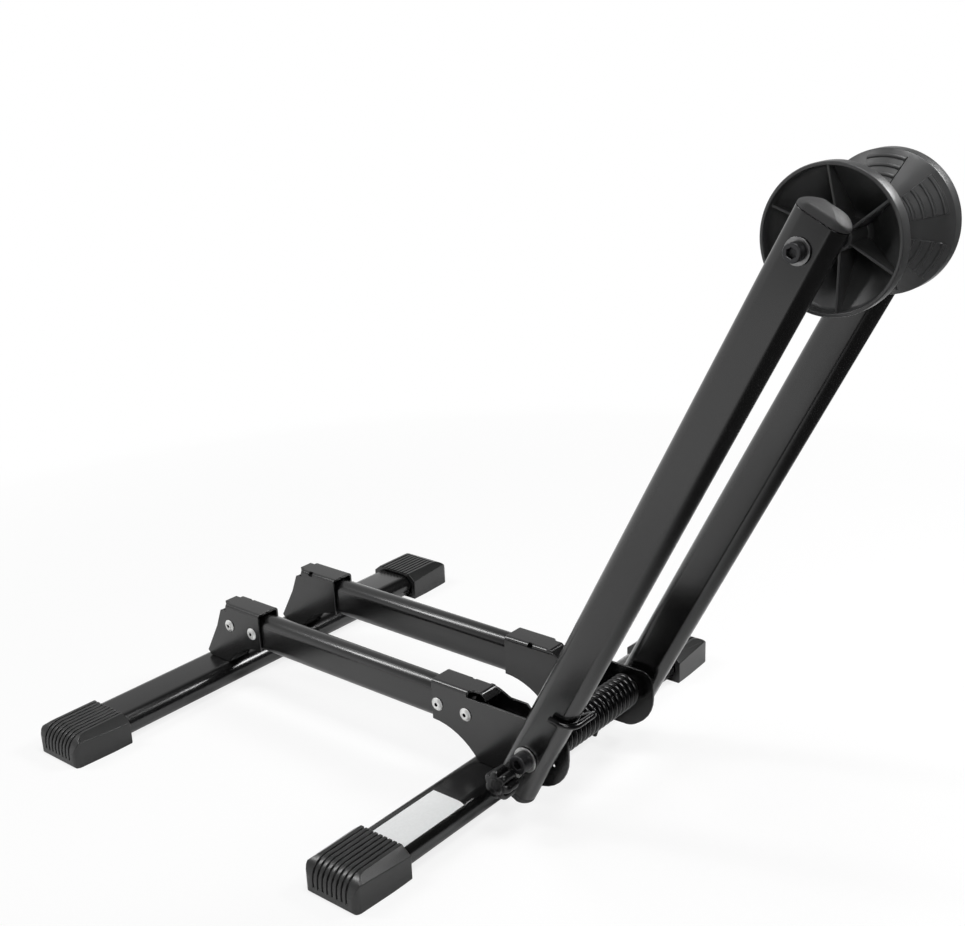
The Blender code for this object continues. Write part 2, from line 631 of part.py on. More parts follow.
def front_bracket(side, sign, holes):
    """Folded saddle on the front tube; its outer wall runs on as the ear that holds the axle."""
    name = f"front_bracket_{side}"
    x = sign * RAIL_OFFSET
    back = FRONT_Y - FRONT_BRACKET_BACK
    web_nose = FRONT_Y - FRONT_WEB_NOSE
    nose = PIVOT.y + EAR_REACH
    foot = arc((nose - EAR_FOOT_ROUND, BRACKET_FOOT + EAR_FOOT_ROUND), EAR_FOOT_ROUND, -90, 0, ARC_STEPS)
    top = arc((nose - EAR_TOP_ROUND, EAR_TOP - EAR_TOP_ROUND), EAR_TOP_ROUND, 0, 90, ARC_STEPS)
    above = BRACKET_TOP + OVERCUT
    outline = [*gusset(back, 1), *foot, (nose, above), (back, above)]
    obj = piece(name, channel(name, back - OVERCUT, nose + OVERCUT), BLACK_STEEL, location=(x, 0, 0))
    half = BRACKET_HALF + OVERCUT
    inside = BRACKET_HALF - SHEET
    shape = tool(f"{name}_outline", prism(f"{name}_outline", "YZ", (outline,), -half, half),
                 location=(x, 0, 0))
    combine(obj, "INTERSECT", shape)

    crest = [(web_nose, above), (web_nose, EAR_TOP), *reversed(top), (nose + OVERCUT, top[0][1]),
             (nose + OVERCUT, above)]
    low, high = sorted((-sign * (inside - FIT_GAP), sign * half))
    crest_mesh = prism(f"{name}_crest", "YZ", (crest,), low, high)
    crest_tool = tool(f"{name}_crest", crest_mesh, location=(x, 0, 0))

    end = FRONT_Y + INNER_WALL_REACH
    low_top = EAR_TOP - INNER_WALL_STEP
    trim = [(end, 0), (nose + 2 * OVERCUT, 0), (nose + 2 * OVERCUT, above), (web_nose, above),
            (web_nose, BRACKET_TOP), (web_nose + INNER_WALL_RAMP, low_top), (end - INNER_WALL_DROP, low_top),
            (end, low_top - INNER_WALL_DROP)]
    low, high = sorted((-sign * half, -sign * (inside - 2 * FIT_GAP)))
    inner = tool(f"{name}_trim", prism(f"{name}_trim", "YZ", (trim,), low, high), location=(x, 0, 0))
    combine(obj, "DIFFERENCE", crest_tool, inner)

    low, high = sorted((-sign * (inside + SHEET / 2), sign * (BRACKET_HALF - OVAL_DEPTH)))
    lip = prism(f"{name}_lip", "YZ", (front_lip(web_nose),), low, high)
    combine(obj, "UNION", tool(f"{name}_lip", lip, location=(x, 0, 0)))

    window = joined(f"{name}_window", (oval_window(sign), fold_slot(FRONT_Y - FRONT_SLOT, sign)))
    cuts = [tool(f"{name}_window", window, location=(x, 0, 0))]
    low, high = sorted((0, sign * half))
    axle = rod("drill", PIVOT_RADIUS + BEARING_GAP, low, high)
    axle.transform(Matrix.Translation((0, PIVOT.y, PIVOT.z)))
    drills = [axle]
    if sign > 0:
        stud = ARM_DIRECTION * STUD_ALONG + ARM_ACROSS * STUD_ACROSS
        for angle in (0, LOCK_HOLE_TURN):
            place = PIVOT + Matrix.Rotation(angle, 3, "X") @ stud
            drill = rod("drill", LOCK_HOLE_RADIUS, low, high, SMALL_STEPS)
            drill.transform(Matrix.Translation(place))
            drills.append(drill)
    cuts.append(tool(f"{name}_bores", joined(f"{name}_bores", drills), location=(x, 0, 0)))
    combine(obj, "DIFFERENCE", *cuts, holes)


def front_lip(web_nose):
    """The lip (y, z) that the top web turns down over the rail's end, with a round bend."""
    centre = (web_nose, BRACKET_TOP - SHEET_BEND)
    outer = arc(centre, SHEET_BEND, 90, 90 - LIP_TURN, ARC_STEPS // 2)
    inner = arc(centre, SHEET_BEND - SHEET, 90 - LIP_TURN, 90, ARC_STEPS // 2)
    turn = math.radians(LIP_TURN)
    run = (LIP_LENGTH * math.cos(turn), -LIP_LENGTH * math.sin(turn))
    back = web_nose - SHEET
    return [(back, BRACKET_TOP), *outer, (outer[-1][0] + run[0], outer[-1][1] + run[1]),
            (inner[0][0] + run[0], inner[0][1] + run[1]), *inner, (back, BRACKET_TOP - SHEET)]


def oval_window(sign):
    """Oval cutter (x, y) across the outer fold of a front bracket, down to the wall's top."""
    loop = oval((FRONT_Y - OVAL_CENTRE, 0), OVAL_LENGTH, 2 * OVAL_DEPTH)
    return prism("window", "XY", ([(sign * BRACKET_HALF + v, u) for u, v in loop],),
                 EAR_TOP + OVAL_FLOOR, BRACKET_TOP + OVERCUT)


def rivets():
    """Blind rivets: a domed head on the bracket, and a tail bulb inside the rail."""
    wall = SHEET + FIT_GAP + TUBE_WALL
    head = FIT_GAP + RIVET_HEAD_HEIGHT
    tail = -wall - 2 * FIT_GAP
    profile = [(0, head - RIVET_CENTRE_DEPTH), (RIVET_CENTRE_RADIUS, head - RIVET_CENTRE_DEPTH),
               (RIVET_CENTRE_RADIUS, head), (RIVET_CROWN_RADIUS, head - RIVET_CROWN_DROP),
               (RIVET_HEAD_RADIUS, FIT_GAP), (RIVET_SHANK_RADIUS, FIT_GAP), (RIVET_SHANK_RADIUS, tail),
               (RIVET_TAIL_RADIUS, tail), (RIVET_TAIL_RADIUS, tail - RIVET_TAIL_LENGTH / 2),
               (0, tail - RIVET_TAIL_LENGTH)]
    mesh = turned("rivet", profile, SMALL_STEPS)
    for side, sign in SIDES:
        for place, y in rivet_places():
            turn = 0 if sign > 0 else math.pi
            centre = (sign * BRACKET_OUTER_X, y, RIVET_Z)
            piece(f"rivet_{place}_{side}", mesh, ZINC, location=centre, turn=turn)


def socket_bolt(name, radius, head, seat, end, parent, location):
    """A socket-head bolt along X from its head's seat to its end.

    The head is (radius, height, radius of the six-sided key hole over its corners, depth of the hole).
    """
    head_radius, height, key_radius, key_depth = head
    top = seat + height
    profile = [(0, top), (head_radius - BOLT_CHAMFER, top), (head_radius, top - BOLT_CHAMFER),
               (head_radius, seat), (radius, seat), (radius, end), (0, end)]
    obj = piece(name, turned(name, profile, ROUND_STEPS), BLACK_OXIDE, parent, location)
    key = rod(f"{name}_key", key_radius, top - key_depth, top + OVERCUT, HEX_SIDES)
    combine(obj, "DIFFERENCE", tool(f"{name}_key", key, parent, location))


def hex_nut(name, radius, bore, near_x, far_x, finish, parent, location):
    """A hexagon nut along X."""
    corners = arc((0, 0), radius, 0, 360, HEX_SIDES)[:-1]
    hole = arc((0, 0), bore, 0, 360, SMALL_STEPS)[:-1]
    mesh = prism(name, "YZ", (corners, hole), far_x, near_x)
    piece(name, mesh, finish, parent, location)


def pivot_axle(base):
    """The long bolt through both ears and both arms, with its washers, spacers, nut and spring sleeve."""
    bore = PIVOT_RADIUS + BEARING_GAP
    washer_low = ARM_OUTER_X + FIT_GAP
    washer_high = washer_low + PIVOT_WASHER_THICK
    spacer_low = BRACKET_OUTER_X + FIT_GAP
    spacer_high = ARM_INNER_X - FIT_GAP
    for side, sign in SIDES:
        low, high = sorted((sign * washer_low, sign * washer_high))
        mesh = rod(f"pivot_washer_{side}", PIVOT_WASHER_RADIUS, low, high, ROUND_STEPS, bore)
        piece(f"pivot_washer_{side}", mesh, ZINC, base, PIVOT)
        low, high = sorted((sign * spacer_low, sign * spacer_high))
        mesh = rod(f"pivot_spacer_{side}", SPACER_RADIUS, low, high, ROUND_STEPS, bore)
        piece(f"pivot_spacer_{side}", mesh, SPACER_PLASTIC, base, PIVOT)
    seat = washer_high + FIT_GAP
    nut_end = seat + PIVOT_NUT_HEIGHT
    head = (PIVOT_HEAD_RADIUS, PIVOT_HEAD_HEIGHT, PIVOT_KEY_RADIUS, PIVOT_KEY_DEPTH)
    socket_bolt("pivot_bolt", PIVOT_RADIUS, head, seat, -nut_end - BOLT_STICK_OUT, base, PIVOT)
    hex_nut("pivot_nut", PIVOT_NUT_RADIUS, bore, -seat, -nut_end, ZINC, base, PIVOT)

    ear_inside = BRACKET_OUTER_X - SHEET - FIT_GAP
    chord = SPRING_RADIUS * math.cos(math.pi / SPRING_POINTS)
    radius = chord - SPRING_WIRE_RADIUS - FIT_GAP
    mesh = rod("spring_sleeve", radius, -ear_inside, ear_inside, ROUND_STEPS, bore)
    piece("spring_sleeve", mesh, SPACER_PLASTIC, base, PIVOT)


def arm(side, sign, arms):
    """One flat-oval arm with its axle bores, its bush and the plugs in both ends."""
    x = sign * ARM_OFFSET
    outer = upright_oval((0, 0), ARM_THICK, ARM_DEPTH)
    inner = upright_oval((0, 0), ARM_THICK - 2 * TUBE_WALL, ARM_DEPTH - 2 * TUBE_WALL)
    name = f"arm_{side}"
    mesh = prism(name, "XY", (outer, inner), -ARM_BELOW, ARM_ABOVE)
    obj = piece(name, mesh, BLACK_STEEL, arms, (x, 0, 0))
    reach = ARM_THICK / 2 + OVERCUT
    bores = [(ARM_BUSH_RADIUS + FIT_GAP, 0, 0, ROUND_STEPS),
             (ROLLER_BOLT_RADIUS + FIT_GAP, ROLLER_ACROSS, ROLLER_ALONG, SMALL_STEPS)]
    if sign > 0:
        bores.append((INSERT_RADIUS + FIT_GAP, STUD_ACROSS, STUD_ALONG, SMALL_STEPS))
    drills = []
    for radius, across, along, steps in bores:
        drill = rod("drill", radius, -reach, reach, steps)
        drill.transform(Matrix.Translation((0, across, along)))
        drills.append(drill)
    combine(obj, "DIFFERENCE", tool(f"{name}_bores", joined(f"{name}_bores", drills), arms, (x, 0, 0)))

    bush = rod(f"arm_bush_{side}", ARM_BUSH_RADIUS, -ARM_THICK / 2, ARM_THICK / 2, ROUND_STEPS,
               PIVOT_RADIUS + BEARING_GAP)
    piece(f"arm_bush_{side}", bush, ZINC, arms, (x, 0, 0))
    arm_plug(f"arm_top_plug_{side}", x, arms, ARM_ABOVE, 1, TOP_PLUG_CROWN)
    arm_plug(f"arm_foot_plug_{side}", x, arms, -ARM_BELOW, -1, FOOT_PLUG_CROWN)


def arm_plug(name, x, arms, tube_end, towards, crown):
    """A plastic end plug: a domed cap flush with the tube, on a hollow stub that sits inside it."""
    half = ARM_DEPTH / 2
    rim = FIT_GAP
    spread = math.degrees(math.asin(half / PLUG_ROUND))
    dome = arc((0, crown - PLUG_ROUND), PLUG_ROUND, 90 - spread, 90 + spread, ARC_STEPS)
    cap = upright_oval((0, 0), ARM_THICK, ARM_DEPTH)
    obj = piece(name, prism(name, "XY", (cap,), rim, crown + OVERCUT), PLASTIC)
    half_thick = ARM_THICK / 2 + OVERCUT
    outline = [(-half - OVERCUT, rim - OVERCUT), (half + OVERCUT, rim - OVERCUT),
               (half + OVERCUT, dome[0][1]), *dome, (-half - OVERCUT, dome[-1][1])]
    shape = tool(f"{name}_dome", prism(f"{name}_dome", "YZ", (outline,), -half_thick, half_thick))
    slack = 2 * (TUBE_WALL + FIT_GAP)
    wall = slack + 2 * PLUG_WALL
    stub = prism(f"{name}_stub", "XY", (upright_oval((0, 0), ARM_THICK - slack, ARM_DEPTH - slack),
                                        upright_oval((0, 0), ARM_THICK - wall, ARM_DEPTH - wall)),
                 -PLUG_STUB, rim + PLUG_WALL)
    stub_tool = tool(f"{name}_stub", stub)
    combine(obj, "INTERSECT", shape)
    combine(obj, "UNION", stub_tool)
    settle(obj, shape, stub_tool)
    if towards < 0:
        obj.data.transform(Matrix.Rotation(math.pi, 4, "X"))
    obj.parent = arms
    obj.location = (x, 0, tube_end)


def roller_mesh():
    """The near roller about the X axis: a hollow cone with a rim, hub, radial ribs and tread blocks."""
    run_r = ROLLER_RADIUS - ROLLER_INNER_RADIUS
    band_x = ROLLER_OUTER_X - ROLLER_BAND
    run_x = band_x - ROLLER_INNER_X
    slope = run_x / run_r
    length = math.hypot(run_r, run_x)

    def cone(radius, depth=0.0):
        """X of the cone's face at a radius, moved into the wall by a depth."""
        return ROLLER_INNER_X + (radius - ROLLER_INNER_RADIUS) * slope + depth * length / run_r

    inside = ROLLER_RADIUS - ROLLER_RIM_WALL
    floor_x = ROLLER_INNER_X + ROLLER_FLOOR
    floor_r = ROLLER_INNER_RADIUS + (floor_x - cone(ROLLER_INNER_RADIUS, ROLLER_CONE_WALL)) / slope
    bore = ROLLER_BOLT_RADIUS + BEARING_GAP
    profile = [(ROLLER_RADIUS, ROLLER_OUTER_X), (ROLLER_RADIUS, band_x),
               (ROLLER_INNER_RADIUS, ROLLER_INNER_X), (bore, ROLLER_INNER_X), (bore, ROLLER_HUB_X),
               (ROLLER_HUB_RADIUS, ROLLER_HUB_X), (ROLLER_HUB_RADIUS, floor_x), (floor_r, floor_x),
               (inside, cone(inside, ROLLER_CONE_WALL)), (inside, ROLLER_OUTER_X)]
    obj = piece("roller", turned("roller", profile, ROLLER_STEPS, closed=True), ROLLER_PLASTIC)

    rib_in = (bore + ROLLER_HUB_RADIUS) / 2
    rib_out = inside + ROLLER_RIM_WALL / 2
    deep = ROLLER_CONE_WALL / 2
    rib = [(rib_in, ROLLER_HUB_X - FIT_GAP), (rib_in, cone(floor_r, deep)), (floor_r, cone(floor_r, deep)),
           (rib_out, cone(rib_out, deep)), (rib_out, ROLLER_OUTER_X - ROLLER_RIB_DROP)]
    ribs = []
    for i in range(ROLLER_RIBS):
        mesh = prism("rib", "YZ", (rib,), -ROLLER_RIB_THICK / 2, ROLLER_RIB_THICK / 2)
        angle = ROLLER_RIB_ANGLE + i * math.tau / ROLLER_RIBS
        turn = Matrix(((0, 0, 1, 0), (0, 1, 0, 0), (-1, 0, 0, 0), (0, 0, 0, 1)))
        mesh.transform(Matrix.Rotation(angle, 4, "X") @ turn)
        ribs.append(mesh)
    rib_tool = tool("roller_ribs", joined("roller_ribs", ribs))

    band = [(TREAD_RADII[0] + TREAD_RIDGE, -deep)]
    for radius in TREAD_RADII:
        high, low = radius + TREAD_RIDGE / 2, radius - TREAD_RIDGE / 2
        band += [(high + TREAD_FLANK, TREAD_BASE_HEIGHT), (high, TREAD_RIDGE_HEIGHT),
                 (low, TREAD_RIDGE_HEIGHT), (low - TREAD_FLANK, TREAD_BASE_HEIGHT)]
    band += [(TREAD_RADII[-1] - TREAD_RIDGE, -deep)]
    block = [(radius, cone(radius, -height)) for radius, height in band]
    blocks = []
    for i in range(TREAD_BLOCKS):
        mesh = turned("block", block, TREAD_STEPS, closed=True, sweep=TREAD_SWEEP)
        angle = TREAD_ANGLE - TREAD_SWEEP / 2 + i * math.tau / TREAD_BLOCKS
        mesh.transform(Matrix.Rotation(angle, 4, "X"))
        blocks.append(mesh)
    block_tool = tool("roller_tread", joined("roller_tread", blocks))
    combine(obj, "UNION", rib_tool, block_tool)
    settle(obj, rib_tool, block_tool)
    mesh = obj.data
    bpy.data.objects.remove(obj)
    return mesh


def rollers(arms):
    """The two rollers, their long bolt, and the spacers that hold them apart."""
    frame = empty("roller_axle", (0, ROLLER_ACROSS, ROLLER_ALONG))
    frame.parent = arms
    frame.rotation_euler = (ARM_TILT, 0, 0)
    mesh = roller_mesh()
    piece("roller_near", mesh, ROLLER_PLASTIC, frame)
    piece("roller_far", mesh, ROLLER_PLASTIC, frame, turn=math.pi)
    bore = ROLLER_BOLT_RADIUS + BEARING_GAP
    washer_low = ARM_OUTER_X + FIT_GAP
    washer_high = washer_low + ROLLER_WASHER_THICK
    for side, sign in SIDES:
        low, high = sorted((sign * washer_low, sign * washer_high))
        washer = rod(f"roller_washer_{side}", ROLLER_WASHER_RADIUS, low, high, ROUND_STEPS, bore)
        piece(f"roller_washer_{side}", washer, ZINC, frame)
        low, high = sorted((sign * (ROLLER_HUB_X + FIT_GAP), sign * (ARM_INNER_X - FIT_GAP)))
        spacer = rod(f"roller_spacer_{side}", ROLLER_SPACER_RADIUS, low, high, ROUND_STEPS, bore)
        piece(f"roller_spacer_{side}", spacer, SPACER_PLASTIC, frame)
    gap = ROLLER_INNER_X - FIT_GAP
    middle = rod("middle_spacer", MIDDLE_SPACER_RADIUS, -gap, gap, ROUND_STEPS, bore)
    piece("middle_spacer", middle, SPACER_PLASTIC, frame)
    seat = washer_high + FIT_GAP
    nut_end = seat + ROLLER_NUT_HEIGHT
    head = (ROLLER_HEAD_RADIUS, ROLLER_HEAD_HEIGHT, ROLLER_KEY_RADIUS, ROLLER_KEY_DEPTH)
    socket_bolt("roller_bolt", ROLLER_BOLT_RADIUS, head, seat, -nut_end - BOLT_STICK_OUT, frame, (0, 0, 0))
    hex_nut("roller_nut", ROLLER_NUT_RADIUS, bore, -seat, -nut_end, ZINC, frame, (0, 0, 0))


def spring_path():
    """The wire's centre line about the axle, in the arm's frame (x, across, along).

    From the hook's end on the near arm's outer face it goes round the arm's front edge, in along X,
    down to the back of the coil, through the turns, and out along the far leg to the front tube's nose.
    """
    clear = SPRING_WIRE_RADIUS + FIT_GAP
    nose_radius = ARM_THICK / 2 + clear
    nose = Vector((ARM_OFFSET, ARM_DEPTH / 2 - ARM_THICK / 2))
    front = nose.y + nose_radius

    leave = math.atan2(HOOK_ALONG, front) + math.acos(SPRING_RADIUS / math.hypot(front, HOOK_ALONG))
    direction = Vector((0, math.sin(leave), -math.cos(leave)))
    fall = HOOK_DROP / (front - HOOK_END_ACROSS)

    points = [Vector((nose.x + nose_radius, HOOK_END_ACROSS, HOOK_ALONG - HOOK_DROP))]
    for i in range(HOOK_STEPS + 1):
        angle = math.pi / 2 * i / HOOK_STEPS
        across = nose.y + nose_radius * math.sin(angle)
        points.append(Vector((nose.x + nose_radius * math.cos(angle), across,
                              HOOK_ALONG - fall * (front - across))))
    for i in range(HOOK_STEPS + 1):
        angle = math.pi / 2 * i / HOOK_STEPS
        inward = SPRING_NEAR_X + HOOK_BEND * (1 - math.sin(angle))
        points.append(Vector((inward, front, HOOK_ALONG)) - direction * HOOK_BEND * (1 - math.cos(angle)))

    run = SPRING_NEAR_X - SPRING_FAR_X
    away, length = far_leg()
    turns = SPRING_TURNS + ((away - leave) / math.tau) % 1
    total = int(round(turns * SPRING_POINTS))
    for i in range(total + 1):
        angle = leave + turns * math.tau * i / total
        points.append(Vector((SPRING_NEAR_X - run * i / total, SPRING_RADIUS * math.cos(angle),
                              SPRING_RADIUS * math.sin(angle))))

    last = points[-1]
    points.append(last + length * Vector((0, -math.sin(away), math.cos(away))))
    return points


def far_leg():
    """The angle where the wire leaves the coil for the front tube, and the length of that straight leg.

    The leg passes the coil on one side and the tube's round nose on the other, touching both circles.
    """
    nose = Vector((0, FRONT_Y + (CROSS_WIDTH - CROSS_HEIGHT) / 2, CROSS_Z)) - PIVOT
    across, along = nose.dot(ARM_ACROSS), nose.dot(ARM_DIRECTION)
    distance = math.hypot(across, along)
    reach = SPRING_RADIUS + CROSS_HEIGHT / 2 + SPRING_WIRE_RADIUS + FIT_GAP
    away = math.atan2(along, across) - math.acos(reach / distance)
    return away, math.sqrt(distance ** 2 - reach ** 2) + FAR_LEG_PAST


def least_gap(points):
    """The least gap between stretches of the wire that aren't next to each other."""
    fine = []
    for first, second in zip(points, points[1:]):
        fine += [first.lerp(second, i / GAP_SAMPLES) for i in range(GAP_SAMPLES)]
    least = math.inf
    apart = SPRING_POINTS * GAP_SAMPLES // 2
    for i, point in enumerate(fine):
        for other in fine[i + apart:]:
            least = min(least, (point - other).length)
    return least - 2 * SPRING_WIRE_RADIUS


def torsion_spring(arms):
    points = spring_path()
    curve = bpy.data.curves.new("torsion_spring", "CURVE")
    curve.dimensions = "3D"
    curve.bevel_depth = SPRING_WIRE_RADIUS
    curve.bevel_resolution = 1
    curve.use_fill_caps = True
    spline = curve.splines.new("POLY")
    spline.points.add(len(points) - 1)
    for place, point in zip(spline.points, points):
        place.co = (*point, 1)
    helper = bpy.data.objects.new("torsion_spring", curve)
    STAND.objects.link(helper)
    piece("torsion_spring", baked(helper, "torsion_spring"), SPRING_STEEL, arms)
    print(f"torsion spring: least gap to itself {least_gap(points) * 1000:.2f} mm")


def knob_outline():
    """Round lobes with creases between them: the radius follows the cosine of half the lobe count
    times the angle, without its sign.
    """
    steps = KNOB_LOBES * LOBE_STEPS
    outline = []
    for i in range(steps):
        angle = math.tau * i / steps
        radius = KNOB_RADIUS - KNOB_LOBE_DEPTH * (1 - abs(math.cos(KNOB_LOBES * angle / 2)))
        outline.append((radius * math.cos(angle), radius * math.sin(angle)))
    return outline


def lock_knob(arms):
    """The threaded insert in the near arm, the stud that points at the ear's holes, and its star knob."""
    place = (0, STUD_ACROSS, STUD_ALONG)
    hole = STUD_RADIUS + BEARING_GAP
    face = ARM_OUTER_X + FIT_GAP
    flange = face + INSERT_FLANGE_THICK
    profile = [(INSERT_FLANGE_RADIUS, flange), (INSERT_FLANGE_RADIUS, face), (INSERT_RADIUS, face),
               (INSERT_RADIUS, face - INSERT_LENGTH), (hole, face - INSERT_LENGTH), (hole, flange)]
    piece("knob_insert", turned("knob_insert", profile, SMALL_STEPS, closed=True), ZINC, arms, place)

    tip = BRACKET_OUTER_X + FIT_GAP
    neck = KNOB_INNER_X - KNOB_NECK_LENGTH
    bore_end = neck + KNOB_BORE_DEPTH
    stud = rod("lock_stud", STUD_RADIUS, tip, bore_end - FIT_GAP, SMALL_STEPS)
    piece("lock_stud", stud, ZINC, arms, place)

    outer = KNOB_INNER_X + KNOB_THICK
    knob = piece("star_knob", prism("star_knob", "YZ", (knob_outline(),), KNOB_INNER_X, outer, KNOB_EDGE),
                 PLASTIC, arms, place)
    collar_mesh = rod("knob_neck", KNOB_NECK_RADIUS, neck, KNOB_INNER_X + KNOB_EDGE, SMALL_STEPS)
    collar = tool("knob_neck", collar_mesh, arms, place)
    bore = tool("knob_bore", rod("knob_bore", hole, neck - OVERCUT, bore_end, SMALL_STEPS), arms, place)
    combine(knob, "UNION", collar)
    combine(knob, "DIFFERENCE", bore)


def build():
    cross_tube("front_cross_tube", FRONT_Y)
    cross_tube("rear_cross_tube", REAR_Y)
    foot_caps()
    for side, sign in SIDES:
        holes = rivet_holes(side, sign)
        rail(side, sign, holes)
        rear_bracket(side, sign, holes)
        front_bracket(side, sign, holes)
    rivets()
    pivot_axle(None)
    arms = empty("arm_pivot", PIVOT, ARM_TILT)
    for side, sign in SIDES:
        arm(side, sign, arms)
    rollers(arms)
    torsion_spring(arms)
    lock_knob(arms)


clear_scene()
STAND = new_collection("bike_parking_stand")
TOOLS = new_collection("cutters")
BLACK_STEEL = material("black powder coat", (0.018, 0.018, 0.019), 0.38, 0.0)
RUBBER = material("black rubber", (0.022, 0.022, 0.023), 0.62, 0.0)
PLASTIC = material("black plastic", (0.020, 0.020, 0.021), 0.45, 0.0)
SPACER_PLASTIC = material("dark spacer plastic", (0.015, 0.015, 0.016), 0.5, 0.0)
ROLLER_PLASTIC = material("roller plastic", (0.045, 0.046, 0.048), 0.55, 0.0)
SPRING_STEEL = material("black spring steel", (0.010, 0.010, 0.011), 0.22, 0.6)
BLACK_OXIDE = material("black oxide steel", (0.030, 0.030, 0.032), 0.35, 0.8)
ZINC = material("zinc plate", (0.62, 0.62, 0.60), 0.32, 1.0)
build()
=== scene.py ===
"""Looks of a folding bike parking stand.

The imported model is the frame. Each visible sub-part gets a fine surface worked out from its own sizes, which
rides on the sub-part's body and stands for it. All sizes are in metres, +X is the side with the lock knob,
+Y runs from the rear tube to the arms, and +Z is up.
"""

import json
import math

import bmesh
import bpy
import numpy as np
from bpy.props import FloatProperty, FloatVectorProperty, IntProperty, PointerProperty
from mathutils import Matrix, Vector


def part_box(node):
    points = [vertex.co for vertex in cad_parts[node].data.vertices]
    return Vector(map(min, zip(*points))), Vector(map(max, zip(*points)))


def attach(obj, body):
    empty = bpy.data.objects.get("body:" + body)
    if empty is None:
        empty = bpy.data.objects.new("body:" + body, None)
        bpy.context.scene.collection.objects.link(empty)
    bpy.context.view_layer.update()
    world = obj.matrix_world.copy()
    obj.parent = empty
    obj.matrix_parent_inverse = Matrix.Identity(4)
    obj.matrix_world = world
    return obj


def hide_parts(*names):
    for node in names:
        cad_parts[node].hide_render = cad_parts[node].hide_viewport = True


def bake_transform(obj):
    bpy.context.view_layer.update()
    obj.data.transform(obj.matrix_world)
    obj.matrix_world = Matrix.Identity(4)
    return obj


bl_info = {
    "name": "Bike parking stand",
    "version": (1, 0, 0),
    "blender": (4, 5, 0),
    "location": "3D View > Sidebar > Bike stand",
    "description": "Builds the fine surfaces, finishes and studio of a folding bike parking stand",
    "category": "Object",
}

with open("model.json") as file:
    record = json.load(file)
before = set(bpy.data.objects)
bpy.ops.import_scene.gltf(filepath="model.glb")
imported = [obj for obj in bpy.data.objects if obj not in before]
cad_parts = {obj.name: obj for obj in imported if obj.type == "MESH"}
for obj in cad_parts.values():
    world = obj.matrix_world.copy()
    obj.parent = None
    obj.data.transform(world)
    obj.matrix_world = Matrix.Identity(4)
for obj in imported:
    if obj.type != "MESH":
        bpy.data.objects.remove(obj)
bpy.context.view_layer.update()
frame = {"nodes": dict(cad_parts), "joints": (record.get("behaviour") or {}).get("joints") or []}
IMAGE_WIDTH, IMAGE_HEIGHT = 965, 926

JOINTS = {joint["name"]: joint for joint in frame["joints"]}
PIVOT = np.array(JOINTS["arm_fold"]["pos_m"])
AXLE = np.array(JOINTS["roller_near_spin"]["pos_m"]) * (0, 1, 1)
SIDES = (("near", 1), ("far", -1))
ENDS = ("front", "rear")

ALONG_X = (2, 0, 1)     # lays a surface's height along X
ALONG_Y = (1, 2, 0)     # lays a surface's height along Y

FIT_GAP = 0.0003        # between pieces that touch
WELD = 1e-7             # points of a fine surface closer than this are one
CAD_WELD = 2e-6         # the same in a CAD node's copy
FLAT_ANGLE = 1          # degrees: edges flatter than this go from a CAD node's copy
EDGE_ANGLE = 34         # degrees: edges past this are rounded on a CAD node's copy, and sharp on a fine surface
BEVEL_ANGLE = 50        # degrees: edges past this stay sharp once the rounding is in
TUBE_STEPS = 28         # round a cross tube's or rail's half circle
ARM_STEPS = 32          # round an arm's half circle
RIM_STEPS = 3           # up a quarter-round rim
WASHER_EDGE = 0.0002
SPACER_EDGE = 0.0004
WHITE = (1, 1, 1, 1)


def size(name, description, default):
    """A length that a user may change."""
    return FloatProperty(name=name, description=description, default=default, unit="LENGTH", precision=5)


def angle(name, description, degrees):
    """An angle that a user may change."""
    return FloatProperty(name=name, description=description, default=math.radians(degrees), unit="ROTATION")


def colour(name, description, default):
    """A linear colour that a user may change."""
    return FloatVectorProperty(name=name, description=description, default=default, subtype="COLOR", size=3,
                               min=0, max=1)


